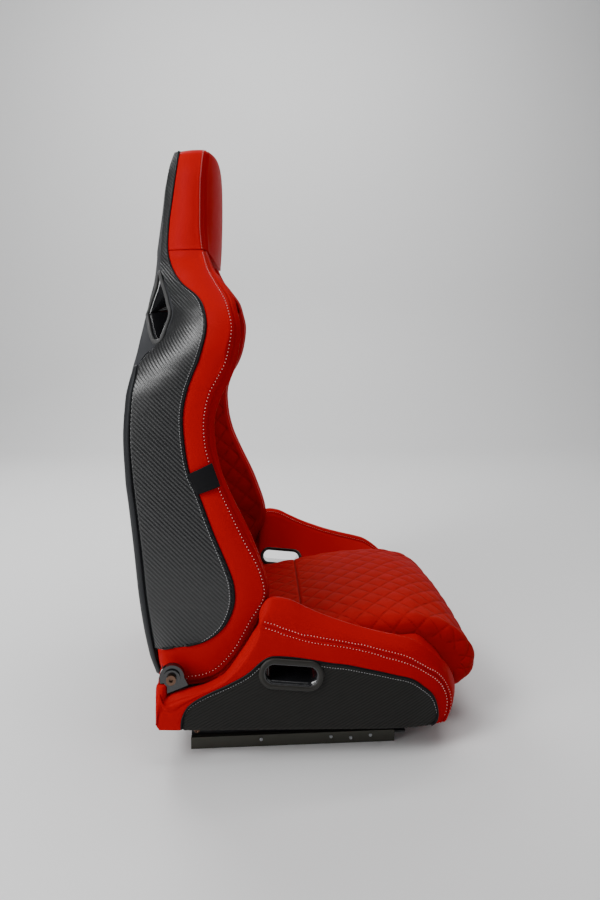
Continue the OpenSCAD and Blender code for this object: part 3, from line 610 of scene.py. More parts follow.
def back_columns():
    """The sewn lines of a back bolster, each a row of points from its low rear end up to the headrest."""
    edge, seam, ridge = back_stations[:, 0], back_stations[:, 1], back_stations[:, 2]
    z = ridge[:, 1]
    e = np.stack([edge[:, 0], side_y(edge[:, 0], edge[:, 1]), edge[:, 1]], 1)
    s = np.stack([seam[:, 0], side_y(seam[:, 0], seam[:, 1]) - 0.5, seam[:, 1]], 1)
    r = np.stack([ridge[:, 0], along(ridge_w, z) + 1, z], 1)
    w = mix(s, r, 0.45) + [0, 1.5, 0]
    j = np.stack([ridge[:, 0] - 6, along(ridge_w, z) - 22, z], 1)
    v = np.stack([along(pad_x, z) + 2, along(valley_w, z) + 1, z], 1)
    low = len(inner_low)
    j[:low], v[:low] = inner_low, valley_low
    v[-1] = [-152, 100, 801]
    j[-1] = [-147, 105, 801]
    b1 = np.stack([np.minimum(v[:, 0] - 14, along(rear_x, v[:, 2]) + 60), v[:, 1] + 6, v[:, 2]], 1)
    b2 = e + [0, -14, 0]
    b2[:, 0] = np.maximum(b2[:, 0], along(rear_x, b2[:, 2]) + 22)
    return e, s, w, r, j, v, b1, b2


def build_back_bolster():
    e, s, w, r, j, v, b1, b2 = back_columns()
    t = even(s, 7.5)
    lines = [through(c, t) for c in (e, s, w, r, j, v, b1, b2)]

    def follow_side(k, t, q):
        if k == 0:
            q[:, 1] = side_y(q[:, 0], q[:, 2])

    p, marks = columns_between(lines, [9, 2, 3, 3, 12, 3, 8, 2], follow_side)
    held = np.zeros(p.shape[:2], bool)
    held[:, [marks[0], marks[2], marks[4]]] = True
    held[:, marks[5]:] = True
    held[[0, -3, -2, -1]] = True
    p = swell("back_bolster", p, held, 6.0)
    p = denser(p, 3, 3, closed=True)
    marks = [3 * m for m in marks]
    n = outward(p, normals(p, True))
    a = round_ring(p)

    def off(m):
        return np.abs(a - a[:, [m]])
    inner = np.zeros(p.shape[:2])
    inner[:, marks[4]:marks[5] + 1] = 1
    reach = a[:, [marks[5]]] - a
    fade = np.clip(off(marks[4]) / 9, 0, 1) * np.clip(off(marks[5]) / 9, 0, 1)
    h = quilted(inner * fade, reach, p[:, :, 2])
    h -= 1.7 * groove(off(marks[2]), 1.7)
    h += 0.6 * groove(off(marks[2]) - 4.2, 2.2)
    h -= 0.5 * groove(off(marks[1]), 1.4)
    h -= 1.8 * groove(off(marks[4]), 1.9)
    h += 0.7 * groove(off(marks[4]) - 4.5, 2.4)
    band = np.zeros(p.shape[:2])
    band[:, :marks[1]] = 1
    cross = int(np.argmin(np.abs(p[:, marks[1], 2] - 570)))
    rows = np.abs(np.arange(len(p)) - cross)[:, None] * 2.5
    h -= band * 0.8 * groove(rows, 1.6)
    return p + n * h[:, :, None], n, marks


bolster, bolster_n, bolster_marks = build_back_bolster()
for side, flip in SIDES:
    mirror = np.array([1, flip, 1])
    q = bolster * mirror
    piece = add("back_bolster_cover_" + side, closed_loft(q), "backrest", "red_leatherette", mat_red,
                "back_bolster_" + side, fill=0.85)
    piece.data.materials.append(mat_quilt)
    cols = q.shape[1]
    lo, hi = bolster_marks[4] + 1, bolster_marks[5]
    for face in piece.data.polygons:
        c = face.vertices[0] % cols
        if lo <= c < hi and face.index < (len(q) - 1) * cols:
            face.material_index = 1
    seam = bolster_marks[1]
    line = stitches(q[:, seam], bolster_n[:, seam] * mirror, pitch=5.6, length=1.5, radius=0.85)
    add("back_bolster_stitches_" + side, line, "backrest", "red_leatherette", mat_thread_red)


# ---------------------------------------------------------------- woven side panels of the back

def between(a, b, n):
    """A grid of n columns from one row of places to another."""
    return mix(a[:, None], b[:, None], np.linspace(0, 1, n)[None, :, None])


def ribs(p, angle, pitch, height, wrapped=True):
    """Raised diagonal ribs, measured over the surface of a wrapped panel or straight across a flat one."""
    step = np.linalg.norm(np.diff(p, axis=1), axis=2)
    behind = np.concatenate([np.cumsum(step[:, ::-1], 1)[:, ::-1], np.zeros((len(p), 1))], 1)
    x = p[:, -1:, 0] - behind if wrapped else p[:, :, 0]
    k = x * math.sin(angle) + p[:, :, 2] * math.cos(angle)
    wave = 0.5 + 0.5 * np.sin(2 * math.pi * k / pitch)
    return height * wave ** 0.6


def back_panel_grid(step):
    edge = np.vstack([back_stations[:, 0], weave_top])
    rear_z = np.array(weave_rear_z, float)
    rear = np.stack([along(join_x, rear_z), rear_z], 1)
    t = even(edge, step)
    a, b = through(rear, t), through(edge, t)
    flat = between(a, b, int(110 / step))
    y = side_y(flat[:, :, 0], flat[:, :, 1])
    return np.stack([flat[:, :, 0], y, flat[:, :, 1]], 2)


def facing(p, axis, way):
    """Normals of an open grid, turned to point the given way along an axis."""
    n = normals(p, False)
    return n if n[:, :, axis].sum() * way > 0 else -n


back_rib_angle, back_rib_pitch, back_rib_height = math.radians(43), 5.2, 1.0
back_weave_thick = 2.0
panel = back_panel_grid(1.3)
panel_n = facing(panel, 1, 1)
edge_fade = np.clip(np.linspace(0, 1, panel.shape[1]) / 0.02, 0, 1)[None, :]
back_ribs = ribs(panel, back_rib_angle, back_rib_pitch, back_rib_height)
panel_skin = panel + panel_n * (back_ribs * edge_fade + 0.3)[:, :, None]


def skin_with_back(front, n, thick):
    """A thin closed panel: the front grid, and a plain back at a given thickness."""
    rows, cols = front.shape[:2]
    back = front - n * thick
    verts = np.vstack([front.reshape(-1, 3), back.reshape(-1, 3)])
    k = rows * cols
    faces = grid_faces(rows, cols) + [f[::-1] for f in grid_faces(rows, cols, start=k)]
    rim = [c for c in range(cols)] + [r * cols + cols - 1 for r in range(1, rows)]
    rim += [(rows - 1) * cols + c for c in range(cols - 2, -1, -1)]
    rim += [r * cols for r in range(rows - 2, 0, -1)]
    faces += [(rim[i], rim[(i + 1) % len(rim)], k + rim[(i + 1) % len(rim)], k + rim[i])
              for i in range(len(rim))]
    return verts, faces


# ---------------------------------------------------------------- shoulder harness openings

# Corners (y, z) of a shoulder opening: where it leaves the cushions, and where it leaves the rear skin.
slot_front = np.array([(202, 697), (160, 748), (98, 709), (152, 652)], float)
slot_rear = np.array([(189, 694), (125, 763), (144, 692), (211, 646)], float)


def rounded(corners, radius, extra):
    """A convex outline with rounded corners, grown by extra. Its count of points is always the same."""
    n, per_edge, per_corner = len(corners), 26, 8
    out = []
    side = unit(np.roll(corners, -1, 0) - corners)
    normal = np.stack([side[:, 1], -side[:, 0]], 1)
    arcs = []
    for i in range(n):
        before, after = normal[i - 1], normal[i]
        centre = corners[i] - (before + after) / (1 + before @ after) * radius
        a0, a1 = math.atan2(before[1], before[0]), math.atan2(after[1], after[0])
        turn = np.linspace(0, (a1 - a0) % (2 * math.pi), per_corner) + a0
        arcs.append(centre + (radius + extra) * np.stack([np.cos(turn), np.sin(turn)], 1))
    for i in range(n):
        a, b = arcs[i][-1], arcs[(i + 1) % n][0]
        edge = a + (b - a) * np.linspace(0, 1, per_edge + 2)[1:-1, None]
        out += [arcs[i], edge]
    return np.vstack(out)


harness_wall = 2.4
harness_rim_radius = 4.3
harness_rim_offset = 3.7
tunnel_front_x = -176.0


def slot_outline(extra):
    return rounded(slot_front, 14, extra)


def slot_rear_outline(extra):
    return rounded(slot_rear, 1.5, extra)


def skin_x(y, z):
    """Depth of the back's outer skin, over the shell and round to its side."""
    if y <= float(join_w(z)):
        return float(rear_skin_x(y, z))
    low, high = float(along(join_x, z)), float(along(seam_x, z))
    for _ in range(24):
        mid = (low + high) / 2
        if float(side_y(mid, z)) < y:
            low = mid
        else:
            high = mid
    return (low + high) / 2


def punch(obj, ring, side, axis, rise=0.0, beyond=0.0):
    """Opens a hole: faces inside the ring go, and the vertices left inside it move out to its edge.

    The ring's places are (x, z) for axis 0 and (y, z) for axis 1. The hole rises towards the seat's middle,
    and only the part of the mesh further out than beyond is touched.
    """
    mesh = obj.data
    mirror = np.array([1, side, 1])
    co = np.empty(len(mesh.vertices) * 3)
    mesh.vertices.foreach_get("co", co)
    co = co.reshape(-1, 3) / MM * mirror
    flat = np.stack([co[:, axis], co[:, 2] - (base_half_w - co[:, 1]) * math.tan(rise)], 1)
    out = np.roll(ring, -1, 0) - ring
    out = unit(np.stack([out[:, 1], -out[:, 0]], 1))
    if np.sum((ring - ring.mean(0)) * out) < 0:
        out = -out
    near = (co[:, 1] > beyond) & (np.linalg.norm(flat - ring.mean(0), axis=1) < 90)
    index = np.flatnonzero(near)
    depth = np.max(np.einsum("nkd,kd->nk", flat[index][:, None] - ring[None], out), axis=1)
    inside = np.zeros(len(co), bool)
    inside[index[depth < 0]] = True
    bm = bmesh.new()
    bm.from_mesh(mesh)
    gone = [f for f in bm.faces if all(inside[v.index] for v in f.verts)]
    marked = [(v, flat[v.index]) for v in bm.verts if inside[v.index]]
    bmesh.ops.delete(bm, geom=gone, context="FACES")
    for v, q in marked:
        if v.is_valid:
            move = ring[np.argmin(np.linalg.norm(ring - q, axis=1))] - q
            v.co[axis] += move[0] * mirror[axis] * MM
            v.co.z += move[1] * MM
    bm.to_mesh(mesh)
    bm.free()


def walled(inside, outside):
    """A tunnel with a wall, from its rings on the inside and the matching rings outside them."""
    inside, outside = np.array(inside), np.array(outside)
    rows, cols = inside.shape[:2]
    verts = np.vstack([inside.reshape(-1, 3), outside.reshape(-1, 3)])
    k = rows * cols
    faces = grid_faces(rows, cols, closed=True) + [f[::-1] for f in grid_faces(rows, cols, True, k)]
    for r in (0, rows - 1):
        faces += [(r * cols + c, r * cols + (c + 1) % cols, k + r * cols + (c + 1) % cols, k + r * cols + c)
                  for c in range(cols)]
    return verts, faces


def open_shoulder(obj, side, outline=slot_outline):
    punch(obj, outline(3.0), side, axis=1)


for side, flip in SIDES:
    mirror = np.array([1, flip, 1])
    weave = skin_with_back(panel_skin * mirror, panel_n * mirror, back_weave_thick)
    piece = add("back_weave_" + side, weave, "backrest", "woven_vinyl", mat_weave, "back_side_panel_" + side)
    open_shoulder(piece, flip, slot_rear_outline)
    edge = panel[:, -1] + panel_n[:, -1] * 0.8
    bead = tube((edge + [0.3, 0, 0]) * mirror, 1.9)
    add("back_piping_" + side, bead, "backrest", "woven_vinyl", mat_piping)
    k = panel.shape[1] - 4
    flat = panel[:, k:] + panel_n[:, k:] * 1.2
    border = skin_with_back(flat * mirror, panel_n[:, k:] * mirror, 1.5)
    add("back_weave_border_" + side, border, "backrest", "woven_vinyl", mat_piping)
    row = panel[:, k - 1] + panel_n[:, k - 1] * 1.25
    line = stitches(row * mirror, panel_n[:, k - 1] * mirror, pitch=4.2, length=2.3, radius=0.45)
    add("back_weave_stitches_" + side, line, "backrest", "woven_vinyl", mat_thread_grey)


# ---------------------------------------------------------------- rear shell and its trim

def build_shell():
    z = np.concatenate([np.arange(113, 570, 5.0), np.arange(570, 700, 2.5), np.arange(700, 981, 5.0), [981]])
    u = np.concatenate([np.linspace(0, 0.74, 60), np.linspace(0.74, 1, 31)[1:]])
    u = np.concatenate([-u[:0:-1], u])
    k = np.abs(u)[None, :]
    edge, join = along(flat_w, z)[:, None], join_w(z)[:, None] - 0.5
    y = np.where(k < 0.74, k / 0.74 * edge, edge + (join - edge) * (k - 0.74) / 0.26) * np.sign(u)[None, :]
    zz = np.broadcast_to(z[:, None], y.shape)
    p = np.stack([rear_skin_x(y, zz), y, zz], 2)
    n = facing(p, 0, -1)
    inset = join_w(zz) - np.abs(y)
    low = np.minimum(zz - 113, 981 - zz)
    deep = np.where(zz < 600, 40, np.clip(40 + (zz - 600) * 2.4, 40, 140))
    deep = np.where(zz > 760, np.clip(140 - (zz - 760) * 2.2, 40, 140), deep)
    h = -1.5 * groove(inset - deep, 1.8) * (low > 20)
    h -= 1.5 * groove(low - 26, 3.0) * (inset > deep)
    h += 1.3 * np.clip((inset - deep) / 7, 0, 1) * np.clip((low - 26) / 7, 0, 1)
    h -= 0.8 * groove(zz - 640, 2.2) * (np.abs(y) < 120)
    p = p + n * h[:, :, None]
    lid = []
    for t in (0.15, 0.4, 0.7, 1.0):
        row = p[-1].copy()
        row[:, 0] = mix(row[:, 0], -188, t)
        row[:, 2] += 2.0 * math.sin(math.pi * t) + 0.3
        lid.append(row)
    p = np.vstack([p, lid])
    return p, facing(p, 0, -1)


shell_skin, shell_n = build_shell()
shell_thick = 3.2
shell = skin_with_back(shell_skin, shell_n, shell_thick)
piece = add("rear_shell_cover", shell, "backrest", "shell_plastic", mat_shell, "back_shell")
for flip in (1, -1):
    open_shoulder(piece, flip, slot_rear_outline)


def trim_line(z):
    """Middle of the edge trim between the shell and the weave."""
    x = mix(along(rear_x, z), along(join_x, z), 0.45)
    y = mix(along(flat_w, z), join_w(z), 0.55) + 0.8
    return np.stack([x, y, z], 1)


def edge_trim(flip):
    """The flat bead along a side of the shell. It gets thinner towards the shoulder."""
    z = np.arange(113, 612, 4.0)
    path = trim_line(z) * [1, flip, 1]
    thick = np.interp(z, [113, 560, 590, 611], [6.8, 6.6, 5.6, 2.6])
    d = unit(np.gradient(path, axis=0))
    u = np.array([0.72, 0.69 * flip, 0.0])
    u = unit(u - d * (d @ u)[:, None])
    v = np.cross(d, u)
    ang = np.arange(14) * 2 * math.pi / 14
    return closed_loft(path[:, None] + thick[:, None, None] * np.cos(ang)[None, :, None] * u[:, None] * 1.1
                       + thick[:, None, None] * 0.42 * np.sin(ang)[None, :, None] * v[:, None])


for side, flip in SIDES:
    add("shell_edge_trim_" + side, edge_trim(flip), "backrest", "shell_plastic", mat_trim)
    ring = slot_rear_outline(harness_rim_offset)
    path = np.array([(skin_x(y, z), flip * y, z) for y, z in ring])
    path[:, 0] -= 0.6
    rim = tube(path, harness_rim_radius, 12, closed=True, flat=0.75, up=(1, 0, 0))
    add("harness_opening_rim_" + side, rim, "backrest", "gloss_black_plastic", mat_rim)
    wall, outer = [], []
    for grow, rings in ((0.0, wall), (harness_wall, outer)):
        a, b = slot_rear_outline(grow), slot_outline(grow)
        x0 = np.array([skin_x(y, z) for y, z in slot_rear_outline(0.0)])
        for d in np.linspace(0, 1, 24):
            flat = mix(a, b, d)
            rings.append(np.stack([mix(x0, tunnel_front_x, d), flip * flat[:, 0], flat[:, 1]], 1))
    add("harness_tunnel_" + side, walled(wall, outer), "backrest", "gloss_black_plastic", mat_gloss,
        "harness_bezel_" + side)


# ---------------------------------------------------------------- back insert

def build_back_insert():
    z = np.linspace(126, 800, 86)
    w = np.where(z > 776, 96.0, along(valley_w, z)) - 0.5
    front = np.linspace(1, -1, 37)
    x = along(pad_x, z)
    xb = np.minimum(along(rear_x, z) + 44, x - 14)
    rows = []
    for k in range(len(z)):
        edge = 7 * np.clip((np.abs(front) * w[k] - (w[k] - 14)) / 14, 0, 1) ** 2
        ring = [(x[k] + 2.5 * f * f - e, f * w[k], z[k]) for f, e in zip(front, edge)]
        ring += [(mix(x[k] - 5, xb[k], t), -w[k], z[k]) for t in (0.35, 0.7)]
        ring += [(xb[k], -f * w[k], z[k]) for f in np.linspace(1, -1, 12)]
        ring += [(mix(x[k] - 5, xb[k], t), w[k], z[k]) for t in (0.7, 0.35)]
        rows.append(ring)
    p = np.array(rows, float)
    held = np.zeros(p.shape[:2], bool)
    held[:, 0] = True
    held[:, 36:] = True
    held[[0, -1]] = True
    p = swell("back_insert", p, held, 6.0)
    p = denser(p, 3, 4, closed=True)
    n = outward(p, normals(p, True))
    face = np.zeros(p.shape[:2])
    face[:, :36 * 4 + 1] = 1
    side_gap = along(valley_w, p[:, :, 2]) - np.abs(p[:, :, 1])
    fade = np.clip(side_gap / 8, 0, 1)
    h = quilted(face * fade, p[:, :, 1], p[:, :, 2])
    return p + n * h[:, :, None]


insert = build_back_insert()
piece = add("back_quilted_insert", closed_loft(insert), "backrest", "red_quilted_suede", mat_quilt,
            "back_insert", fill=0.75)
for flip in (1, -1):
    open_shoulder(piece, flip)
for side, flip in SIDES:
    open_shoulder(bpy.data.objects["back_bolster_cover_" + side], flip)


# ---------------------------------------------------------------- headrest

def build_headrest():
    z = np.concatenate([np.arange(802, 968, 7.0), [972, 976.5, 980, 982.6, 984]])
    zc = np.minimum(z, 982)
    drop = np.array([0] * (len(z) - 5) + [0.8, 2.4, 5.5, 10, 17.0])
    rows = []
    for k in range(len(z)):
        wo = along(outer_w, zc[k]) - drop[k]
        wf = along(ridge_w, zc[k]) - drop[k] * 0.9
        xk = along([(794, -214), (850, -212), (903, -205), (950, -199), (982, -197)], z[k]) + drop[k] * 0.5
        xs = along([(794, -152), (850, -157), (903, -157), (950, -155), (984, -152)], z[k]) - drop[k] * 0.2
        xf = xs + 7
        xp = along(head_x, zc[k]) - drop[k] * 0.45
        wk = float(side_y(xk, zc[k])) - drop[k]
        side = [(x, float(side_y(x, zc[k])) - drop[k]) for x in mix(xk, xs, np.linspace(0, 1, 9))]
        side += [(mix(xs, xf, t), mix(wo, wf + 4, t)) for t in (0.5, 1.0)]
        front = np.linspace(1, -1, 21)[1:-1]
        bulge = [(mix(xp, xf, abs(f) ** 3.2), f * (wf + 2)) for f in front]
        ring = side + bulge + [(x, -y) for x, y in reversed(side)]
        back = [(xk + 3, -f * (wk - 3)) for f in np.linspace(1, -1, 14)]
        dip = np.zeros(len(ring) + len(back))
        low = np.clip(1 - (z[k] - 802) / 55, 0, 1)
        dip[len(side):len(side) + len(front)] = 24 * (1 - np.abs(front) ** 3) * low
        rows.append([(x, y, z[k] - d) for (x, y), d in zip(ring + back, dip)])
    p = np.array(rows, float)
    held = np.zeros(p.shape[:2], bool)
    held[:, [0, 10, 30, 40]] = True
    held[:, 40:] = True
    held[[0, 1, -1]] = True
    p = swell("headrest", p, held, 6.0)
    p = denser(p, 3, 3, closed=True)
    n = outward(p, normals(p, True))
    a = round_ring(p)
    h = np.zeros(p.shape[:2])
    for m in (30, 90):
        d = np.abs(a - a[:, [m]])
        h -= 1.7 * groove(d, 1.8)
        h += 0.6 * groove(d - 4.2, 2.2)
    for m in (24, 96):
        h -= 0.5 * groove(np.abs(a - a[:, [m]]), 1.4)
    p = p + n * h[:, :, None]
    return p, n


head, head_n = build_headrest()
add("headrest_cover", closed_loft(head), "backrest", "red_leatherette", mat_red, "headrest_pad", fill=0.85)
rows = [stitches(head[:, m], head_n[:, m], pitch=5.2, length=1.5, radius=0.8) for m in (24, 96)]
add("headrest_stitches", joined(rows), "backrest", "red_leatherette", mat_thread_red)


# ---------------------------------------------------------------- seat cushion

cushion_line = np.array([
    (-142, 136), (-110, 140), (-60, 145), (-25, 150), (30, 160), (98, 171), (160, 176), (207, 177),
    (239, 173), (270, 163), (291, 146), (306, 128), (314, 108), (313, 92), (306, 78), (294, 66), (276, 58),
    (240, 58)], float)


def build_cushion():
    """The quilted seat cushion: rings run over the top, round the nose and back underneath."""
    t = even(cushion_line, 7.5)
    line = through(cushion_line, t)
    d = unit(np.gradient(line, axis=0))
    up = np.stack([-d[:, 1], d[:, 0]], 1)
    s = lengths(line)
    under = np.array([(232, 112), (120, 119), (0, 119), (-120, 119)], float)
    under = through(under, np.linspace(0, 3, 14))
    radius = 15.0
    flat = cushion_half_w - radius
    round_y = [flat + radius * math.sin(a) for a in (0.35, 0.75, 1.15, math.pi / 2)]
    round_z = [radius * (1 - math.cos(a)) for a in (0.35, 0.75, 1.15, math.pi / 2)]
    half = [(v, 0.0) for v in np.linspace(0, flat, 21)[1:]] + list(zip(round_y, round_z))
    half += [(cushion_half_w + 0.3, radius + 7), (cushion_half_w, radius + 15)]
    places = [(-v, k) for v, k in reversed(half)] + [(0.0, 0.0)] + half
    rows = []
    for v, sink in places:
        crown = 6 * (1 - min(1, abs(v) / cushion_half_w) ** 2)
        lift = (crown * np.clip((s[-1] - s) / 120, 0, 1) * np.clip(s / 60, 0.2, 1) - sink)[:, None]
        ring = np.vstack([line + up * lift, under])
        rows.append([(x, v, z) for x, z in ring])
    p = np.array(rows, float)
    top = len(line)
    held = np.zeros(p.shape[:2], bool)
    held[:, top - 2:] = True
    held[:, :2] = True
    held[:2] = True
    held[-2:] = True
    seam = int(np.argmin(np.abs(line[:, 0] - 20)))
    held[:, seam] = True
    p = swell("cushion", p, held, 5.0)
    p = denser(p, 5, 4, closed=True)
    n = outward(p, normals(p, True))
    along_s = lengths(p[len(p) // 2])
    a = np.broadcast_to(along_s[None, :], p.shape[:2])
    over = lengths(p[:, 4 * (top // 2)])
    over = over - over[len(over) // 2]
    b = np.broadcast_to(over[:, None], p.shape[:2])
    shown = np.zeros(p.shape[:2])
    shown[:, :(top - 2) * 4] = 1
    seam_s = along_s[seam * 4]
    fade = shown * np.clip((over[-1] - np.abs(b)) / 6, 0, 1) * np.clip(np.abs(a - seam_s) / 6, 0, 1)
    h = quilted(fade, a - seam_s, b, 43) - 2.2 * shown * groove(a - seam_s, 2.0)
    return p + n * h[:, :, None]


cushion = build_cushion()
add("seat_cushion_cover", closed_loft(cushion), "seat_base", "red_quilted_suede", mat_quilt,
    "cushion_insert", fill=0.8)


# ---------------------------------------------------------------- thigh bolsters and base side

# Seat base: length (x) against the thigh bolsters' outer half width and the cushion's top.
bolster_out = [(x, base_half_w - d) for x, d in
               ((-215, 6), (-163, 3), (120, 3), (180, 6), (222, 14), (245, 24), (262, 34))]
cushion_top = [(-142, 138), (-90, 142), (-25, 150), (30, 160), (98, 171), (160, 176), (207, 177),
               (239, 173), (270, 163)]
# Matching places on the panel's edge, the double seam and the ridge of a thigh bolster (x, z).
base_stations = np.array([
    [(-207, 57), (-211, 64), (-213, 74)], [(-202, 57), (-208, 76), (-213, 98)],
    [(-197, 57), (-205, 84), (-212, 116)], [(-192, 57), (-200, 88), (-207, 124)],
    [(-187, 57), (-195, 84), (-202, 106)], [(-181, 57), (-184, 86), (-190, 106)],
    [(-173, 59), (-172, 94), (-174, 111)], [(-171, 76), (-158, 102), (-153, 115)],
    [(-160, 94), (-143, 110), (-139, 118)], [(-134, 109), (-122, 118), (-122, 125)],
    [(-108, 120), (-105, 128), (-108, 133)], [(-81, 133), (-90, 140), (-96, 147)],
    [(-69, 141), (-79, 151), (-86, 161)], [(-60, 149), (-69, 165), (-75, 177)],
    [(-52, 156), (-60, 181), (-66, 192)], [(-46, 160), (-54, 196), (-56, 208)],
    [(-39, 163), (-52, 213), (-54, 230)], [(-30, 164), (-37, 210), (-39, 247)],
    [(-6, 162), (-8, 200), (-12, 245)],
    [(24, 157), (18, 191), (14, 233)], [(53, 151), (48, 185), (42, 220)],
    [(80, 147), (78, 180), (68, 210)], [(106, 141), (108, 173), (97, 200)],
    [(131, 135), (138, 164), (133, 190)], [(156, 128), (164, 156), (166, 182)],
    [(182, 120), (188, 145), (188, 175)], [(201, 106), (210, 131), (210, 161)],
    [(216, 91), (227, 118), (230, 144)], [(223, 74), (239, 100), (248, 124)],
    [(225, 58), (246, 79), (260, 96)], [(222, 49), (245, 60), (259, 72)],
    [(214, 45), (234, 45), (248, 47)]], float)
seam_start = 16


def base_columns():
    edge, seam, ridge = base_stations[:, 0], base_stations[:, 1], base_stations[:, 2]
    x, z = ridge[:, 0], ridge[:, 1]
    out_r = along(bolster_out, x)
    e = np.stack([edge[:, 0], along(bolster_out, edge[:, 0]) + 1, edge[:, 1]], 1)
    d = np.stack([seam[:, 0], along(bolster_out, seam[:, 0]) + 1.5, seam[:, 1]], 1)
    g = np.stack([x, np.minimum(out_r - 7, 251), z], 1)
    g[:12, 1] = [257, 257, 257, 257, 257, 257, 257, 257, 256, 255, 254, 252]
    i = g + [0, -17, -7]
    deep = mix(2, 26, np.clip((x - 30) / 80, 0, 1))
    low = np.minimum(z - 8, along(cushion_top, x) - deep)
    v = np.stack([x, np.full(len(x), cushion_half_w + 1.0), low], 1)
    v[:9, 1] = 240
    v[9:17, 1] = [234, 225, 214, 205, 197, 191, 186, 182]
    b1 = np.stack([x, v[:, 1] + 10, np.maximum(v[:, 2] - 30, np.minimum(e[:, 2] + 2, 58))], 1)
    b2 = e + [0, -14, 1]
    return e, d, g, i, v, b1, b2


def build_thigh_bolster():
    lines = base_columns()
    t = even(lines[1], 6.5)
    seam_point = lines[1][seam_start]
    lines = [through(c, t) for c in lines]

    def crown(k, t, q):
        if k == 1:
            q[:, 1] += 5.0 * math.sin(math.pi * t)
        if k == 2:
            q[:, 2] += 2.5 * math.sin(math.pi * t)

    p, marks = columns_between(lines, [7, 7, 4, 9, 3, 7, 2], crown)
    held = np.zeros(p.shape[:2], bool)
    held[:, [marks[0], marks[1], marks[3]]] = True
    held[:, marks[4]:] = True
    held[[0, -1]] = True
    p = swell("thigh_bolster", p, held, 4.0)
    p = denser(p, 3, 3, closed=True)
    marks = [3 * m for m in marks]
    n = outward(p, normals(p, True))
    a = round_ring(p)
    first = int(np.argmin(np.linalg.norm(p[:, marks[1]] - seam_point, axis=1)))
    run = np.clip((np.arange(len(p)) - first) / 4, 0, 1)[:, None]
    d = a - a[:, [marks[1]]]
    h = -run * 1.9 * groove(d, 1.5) + run * 0.9 * groove(np.abs(d) - 2.8, 1.4)
    h -= run * 0.8 * groove(np.abs(d) - 5.0, 1.0)
    rear = 1 - run
    h -= rear * 1.4 * groove(a[:, [marks[2]]] - a - 12, 1.8)
    h -= 1.5 * groove(np.abs(a - a[:, [marks[3]]]), 1.6)
    return p + n * h[:, :, None], n, marks, first, a


thigh, thigh_n, thigh_marks, thigh_first, thigh_a = build_thigh_bolster()


def offset_line(p, n, a, mark, shift, rows):
    """A line on a lofted surface at a distance round the ring from one of its columns."""
    out_p, out_n = [], []
    for r in rows:
        c = int(np.argmin(np.abs(a[r] - a[r, mark] - shift)))
        out_p.append(p[r, c])
        out_n.append(n[r, c])
    out_p = np.array(out_p)
    for _ in range(3):
        out_p[1:-1] = (out_p[:-2] + 2 * out_p[1:-1] + out_p[2:]) / 4
    return out_p, np.array(out_n)


for side, flip in SIDES:
    mirror = np.array([1, flip, 1])
    add("thigh_bolster_cover_" + side, closed_loft(thigh * mirror), "seat_base", "red_leatherette", mat_red,
        "thigh_bolster_" + side, fill=0.85)
    rows = range(thigh_first + 1, len(thigh) - 4)
    parts = []
    for shift in (-5.0, 5.0):
        a, b = offset_line(thigh, thigh_n, thigh_a, thigh_marks[1], shift, rows)
        parts.append(stitches(a * mirror, b * mirror, pitch=5.0, length=1.5, radius=0.85))
    add("thigh_stitches_" + side, joined(parts), "seat_base", "red_leatherette", mat_thread_red)
    a, b = offset_line(thigh, thigh_n, thigh_a, thigh_marks[3], -4.0, rows)
    line = stitches(a * mirror, b * mirror, pitch=4.6, length=1.6, radius=0.45)
    add("thigh_ridge_stitches_" + side, line, "seat_base", "red_leatherette", mat_thread_red)


# ---------------------------------------------------------------- woven panels and rear of the base

lap_x, lap_z = -6, 137
lap_half_len, lap_half_h = 40, 13.5
lap_tilt = math.radians(6)
lap_rise = math.radians(14)
lap_wall = 1.6


def lap_outline(extra, count=96):
    """The tilted oval of a lap opening (x, z), grown by extra."""
    r = lap_half_h + extra
    flat = lap_half_len - lap_half_h
    p = np.array([(math.copysign(flat, math.cos(k)) + r * math.cos(k), r * math.sin(k))
                  for k in np.linspace(0, 2 * math.pi, count, endpoint=False)])
    c, s = math.cos(lap_tilt), math.sin(lap_tilt)
    return np.stack([lap_x + p[:, 0] * c + p[:, 1] * s, lap_z - p[:, 0] * s + p[:, 1] * c], 1)


def open_lap(obj, side):
    punch(obj, lap_outline(3.2, 160), side, axis=0, rise=lap_rise, beyond=165)


def base_panel_grid(step):
    edge = base_stations[6:, 0]
    t = even(edge, step)
    top = through(edge, t)
    x = mix(np.linspace(-168, 212, len(top)), top[:, 0], 0.15)
    low = np.stack([x, mix(57.0, 45.0, (x + 173) / 387)], 1)
    flat = between(low, top, int(100 / step))
    y = along(bolster_out, flat[:, :, 0]) + 0.4
    return np.stack([flat[:, :, 0], y, flat[:, :, 1]], 2)


base_rib_angle, base_rib_pitch, base_rib_height = math.radians(-27), 4.2, 0.6
base_weave_thick = 1.8
base_panel = base_panel_grid(1.15)
base_panel_n = facing(base_panel, 1, 1)
base_ribs = ribs(base_panel, base_rib_angle, base_rib_pitch, base_rib_height, wrapped=False)
base_skin = base_panel + base_panel_n * base_ribs[:, :, None]

